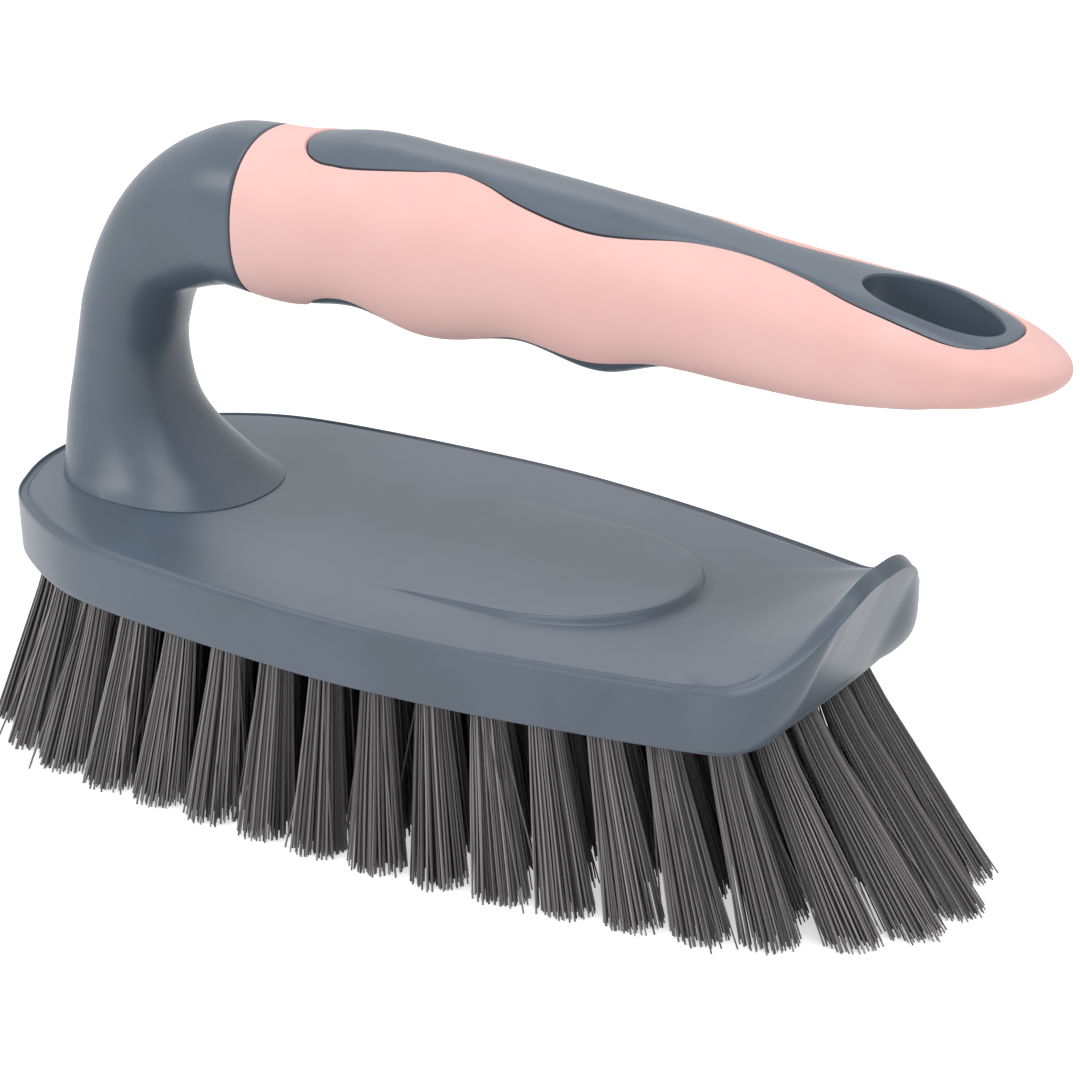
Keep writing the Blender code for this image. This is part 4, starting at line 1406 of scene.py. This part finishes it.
    def grow(
        self,
        name: str,
        nodes: list[str],
        tufts: list[tuple[Vector, Vector]],
        tree: bpy.types.NodeTree,
        surface: bpy.types.Material,
    ) -> bpy.types.Object:
        """Grows the strands of some tufts and bakes them to one plain mesh.

        Args:
            name: The piece's name.
            nodes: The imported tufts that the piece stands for.
            tufts: Root and lean of each tuft.
            tree: The node tree.
            surface: The filament's material.

        Returns:
            The finished piece.
        """
        mesh = bpy.data.meshes.new(name + "_roots")
        mesh.from_pydata([root[:] for root, _ in tufts], [], [])
        mesh.attributes.new("lean", "FLOAT_VECTOR", "POINT")
        mesh.attributes.new("tuft", "INT", "POINT")
        leans = np.array([offset[:] for _, offset in tufts], dtype=np.float32)
        numbers = np.array([self.number(root) for root, _ in tufts], dtype=np.int32)
        mesh.attributes["lean"].data.foreach_set("vector", leans.ravel())
        mesh.attributes["tuft"].data.foreach_set("value", numbers)
        seed = put(name + "_seed", mesh)
        modifier = seed.modifiers.new("Strands", "NODES")
        modifier.node_group = tree
        for item in tree.interface.items_tree:
            if item.item_type == "SOCKET" and item.in_out == "INPUT" and item.name == "Strands":
                modifier[item.identifier] = self.strands
        graph = bpy.context.evaluated_depsgraph_get()
        grown = bpy.data.meshes.new_from_object(seed.evaluated_get(graph))
        seed.modifiers.clear()
        bpy.data.objects.remove(seed, do_unlink=True)
        grown.name = name
        piece = put(name, grown)
        smooth(piece, self.sharp)
        dress(piece, surface, nodes)
        return piece

    def build(self, surface: bpy.types.Material) -> list[bpy.types.Object]:
        """Grows the bristles as three pieces: the rear, the middle and the nose."""
        tree = self.tree(surface)
        tufts = sorted(self.places(), key=lambda tuft: tuft[0].x)
        third = len(tufts) // 3
        first, second = tufts[third][0].x, tufts[2 * third][0].x
        pieces = []
        for name, low, high in (
            ("bristles_rear", -math.inf, first),
            ("bristles_middle", first, second),
            ("bristles_nose", second, math.inf),
        ):
            nodes = [node for node in TUFT_NAMES if low <= self.packed(node)[0].x < high]
            group = [tuft for tuft in tufts if low <= tuft[0].x < high]
            pieces.append(self.grow(name, nodes, group, tree, surface))
        return pieces


# Studio


def direction(azimuth: float, elevation: float) -> Vector:
    """Where a place lies that is seen at an azimuth from the brush's near side and an elevation, in radians."""
    level = math.cos(elevation)
    return Vector((math.sin(azimuth) * level, -math.cos(azimuth) * level, math.sin(elevation)))


def seen_directly(board: NodeBoard) -> bpy.types.NodeSocket:
    """1 for rays of the camera, also mirrored or passed through, and 0 for rays that light the brush."""
    path = board.add("ShaderNodeLightPath").outputs
    seen = board.work(MATH, "MAXIMUM", path["Is Camera Ray"], path["Is Glossy Ray"])
    return board.work(MATH, "MAXIMUM", seen, path["Is Transmission Ray"])


@dataclass(frozen=True)
class PhotoCamera:
    """The photograph's viewpoint, fitted to the brush: where it stands, how it turns and how long its lens is.

    The focal length is a share of the picture's width, and the shifts move the eye across and up its own view.
    """

    azimuth: float = math.radians(32.335)
    elevation: float = math.radians(23.508)
    distance: float = 0.797364
    focal: float = 4.374766
    across: float = 0.019032
    rise: float = 0.009414
    sensor: float = 36.0
    near: float = 0.05
    far: float = 20.0

    def build(self) -> bpy.types.Object:
        """Makes the camera and hands it to the scene."""
        right = Vector((math.cos(self.azimuth), math.sin(self.azimuth), 0))
        back = direction(self.azimuth, self.elevation)
        up = back.cross(right)
        eye = right * self.across + up * self.rise + back * self.distance + Vector((0, 0, BLOCK_Z))
        data = bpy.data.cameras.new("photo_camera")
        data.sensor_width = self.sensor
        data.lens = self.focal * self.sensor
        data.clip_start = self.near
        data.clip_end = self.far
        camera = put("photo_camera", data)
        camera.matrix_world = Matrix.Translation(eye) @ Matrix((right, up, back)).transposed().to_4x4()
        bpy.context.scene.camera = camera
        return camera


@dataclass(frozen=True)
class SoftLamp:
    """One square lamp aimed at the middle of the brush, with its angles in degrees and its power in watts."""

    name: str
    azimuth: float
    elevation: float
    distance: float
    size: float
    power: float
    aim: tuple[float, float, float] = (0.015, 0.0, 0.06)

    def build(self) -> bpy.types.Object:
        """Makes the lamp."""
        data = bpy.data.lights.new(self.name, "AREA")
        data.shape = "SQUARE"
        data.size = self.size
        data.energy = self.power
        away = direction(math.radians(self.azimuth), math.radians(self.elevation))
        lamp = put(self.name, data)
        lamp.location = Vector(self.aim) + away * self.distance
        lamp.rotation_euler = away.to_track_quat("Z", "Y").to_euler()
        return lamp


@dataclass
class Studio:
    """Plain pale floor, a white surround, and soft lamps where the photograph's highlights call for them."""

    floor_size: float = 6.0
    floor_level: float = 0.86
    floor_glow: float = 0.55
    world_level: float = 0.55
    lamps: tuple[SoftLamp, ...] = (
        SoftLamp("side_left", -38, 27, 1.2, 0.45, 3.3),
        SoftLamp("back_left", -144, 40, 1.2, 0.35, 0.6),
        SoftLamp("side_right", 86, 50, 1.3, 0.5, 1.8),
        SoftLamp("top", 10, 78, 1.3, 0.9, 6.4),
    )

    def floor(self) -> bpy.types.Object:
        """Makes the floor, white to the camera but still taking the brush's shadow."""
        bm = bmesh.new()
        bmesh.ops.create_grid(bm, x_segments=1, y_segments=1, size=self.floor_size / 2)
        obj = put_scratch("studio_floor", bm)
        made = bpy.data.materials.new("studio_paper")
        made.use_nodes = True
        board = NodeBoard(made.node_tree)
        board.tree.nodes.remove(board.tree.nodes["Principled BSDF"])
        strength = board.work(MATH, "MULTIPLY", seen_directly(board), self.floor_glow)
        paper = board.add("ShaderNodeBsdfDiffuse", inputs={"Color": grey(self.floor_level)})
        glow = board.add("ShaderNodeEmission", inputs={"Color": grey(1.0), "Strength": strength})
        both = board.add("ShaderNodeAddShader", inputs={0: paper.outputs[0], 1: glow.outputs[0]})
        board.feed(board.tree.nodes["Material Output"].inputs["Surface"], both.outputs[0])
        obj.data.materials.append(made)
        return obj

    def surround(self) -> None:
        """White to the camera, and a plain level of light on the brush."""
        world = bpy.data.worlds.new("studio_surround")
        world.use_nodes = True
        bpy.context.scene.world = world
        board = NodeBoard(world.node_tree)
        background = world.node_tree.nodes["Background"]
        level = board.add(
            "ShaderNodeMapRange", inputs={"Value": seen_directly(board), 3: self.world_level, 4: 1.0}
        )
        board.feed(background.inputs["Color"], grey(1.0))
        board.feed(background.inputs["Strength"], level.outputs["Result"])

    def build(self) -> None:
        """Makes the floor, the surround and the lamps, and sets the plain view transform."""
        bpy.context.scene.view_settings.view_transform = "Standard"
        self.surround()
        self.floor()
        for lamp in self.lamps:
            lamp.build()
            log.info("%s: %.1f W", lamp.name, lamp.power)


def main() -> None:
    """Builds the studio and the brush, piece by piece."""
    PhotoCamera().build()
    Studio().build()
    plastic = MouldedPlastic().material()
    elastomer = SoftElastomer().material()
    filament = ExtrudedFilament().material()
    bristles = BristleField()
    block = BlockShell()
    block.build(plastic, [root for root, _ in bristles.places()])
    surface = HandleSurface(HandlePath())
    HandleBody(surface).build(plastic, block)
    SoftGrip(surface).build(elastomer)
    bristles.build(filament)


if __name__ == "__main__":
    main()
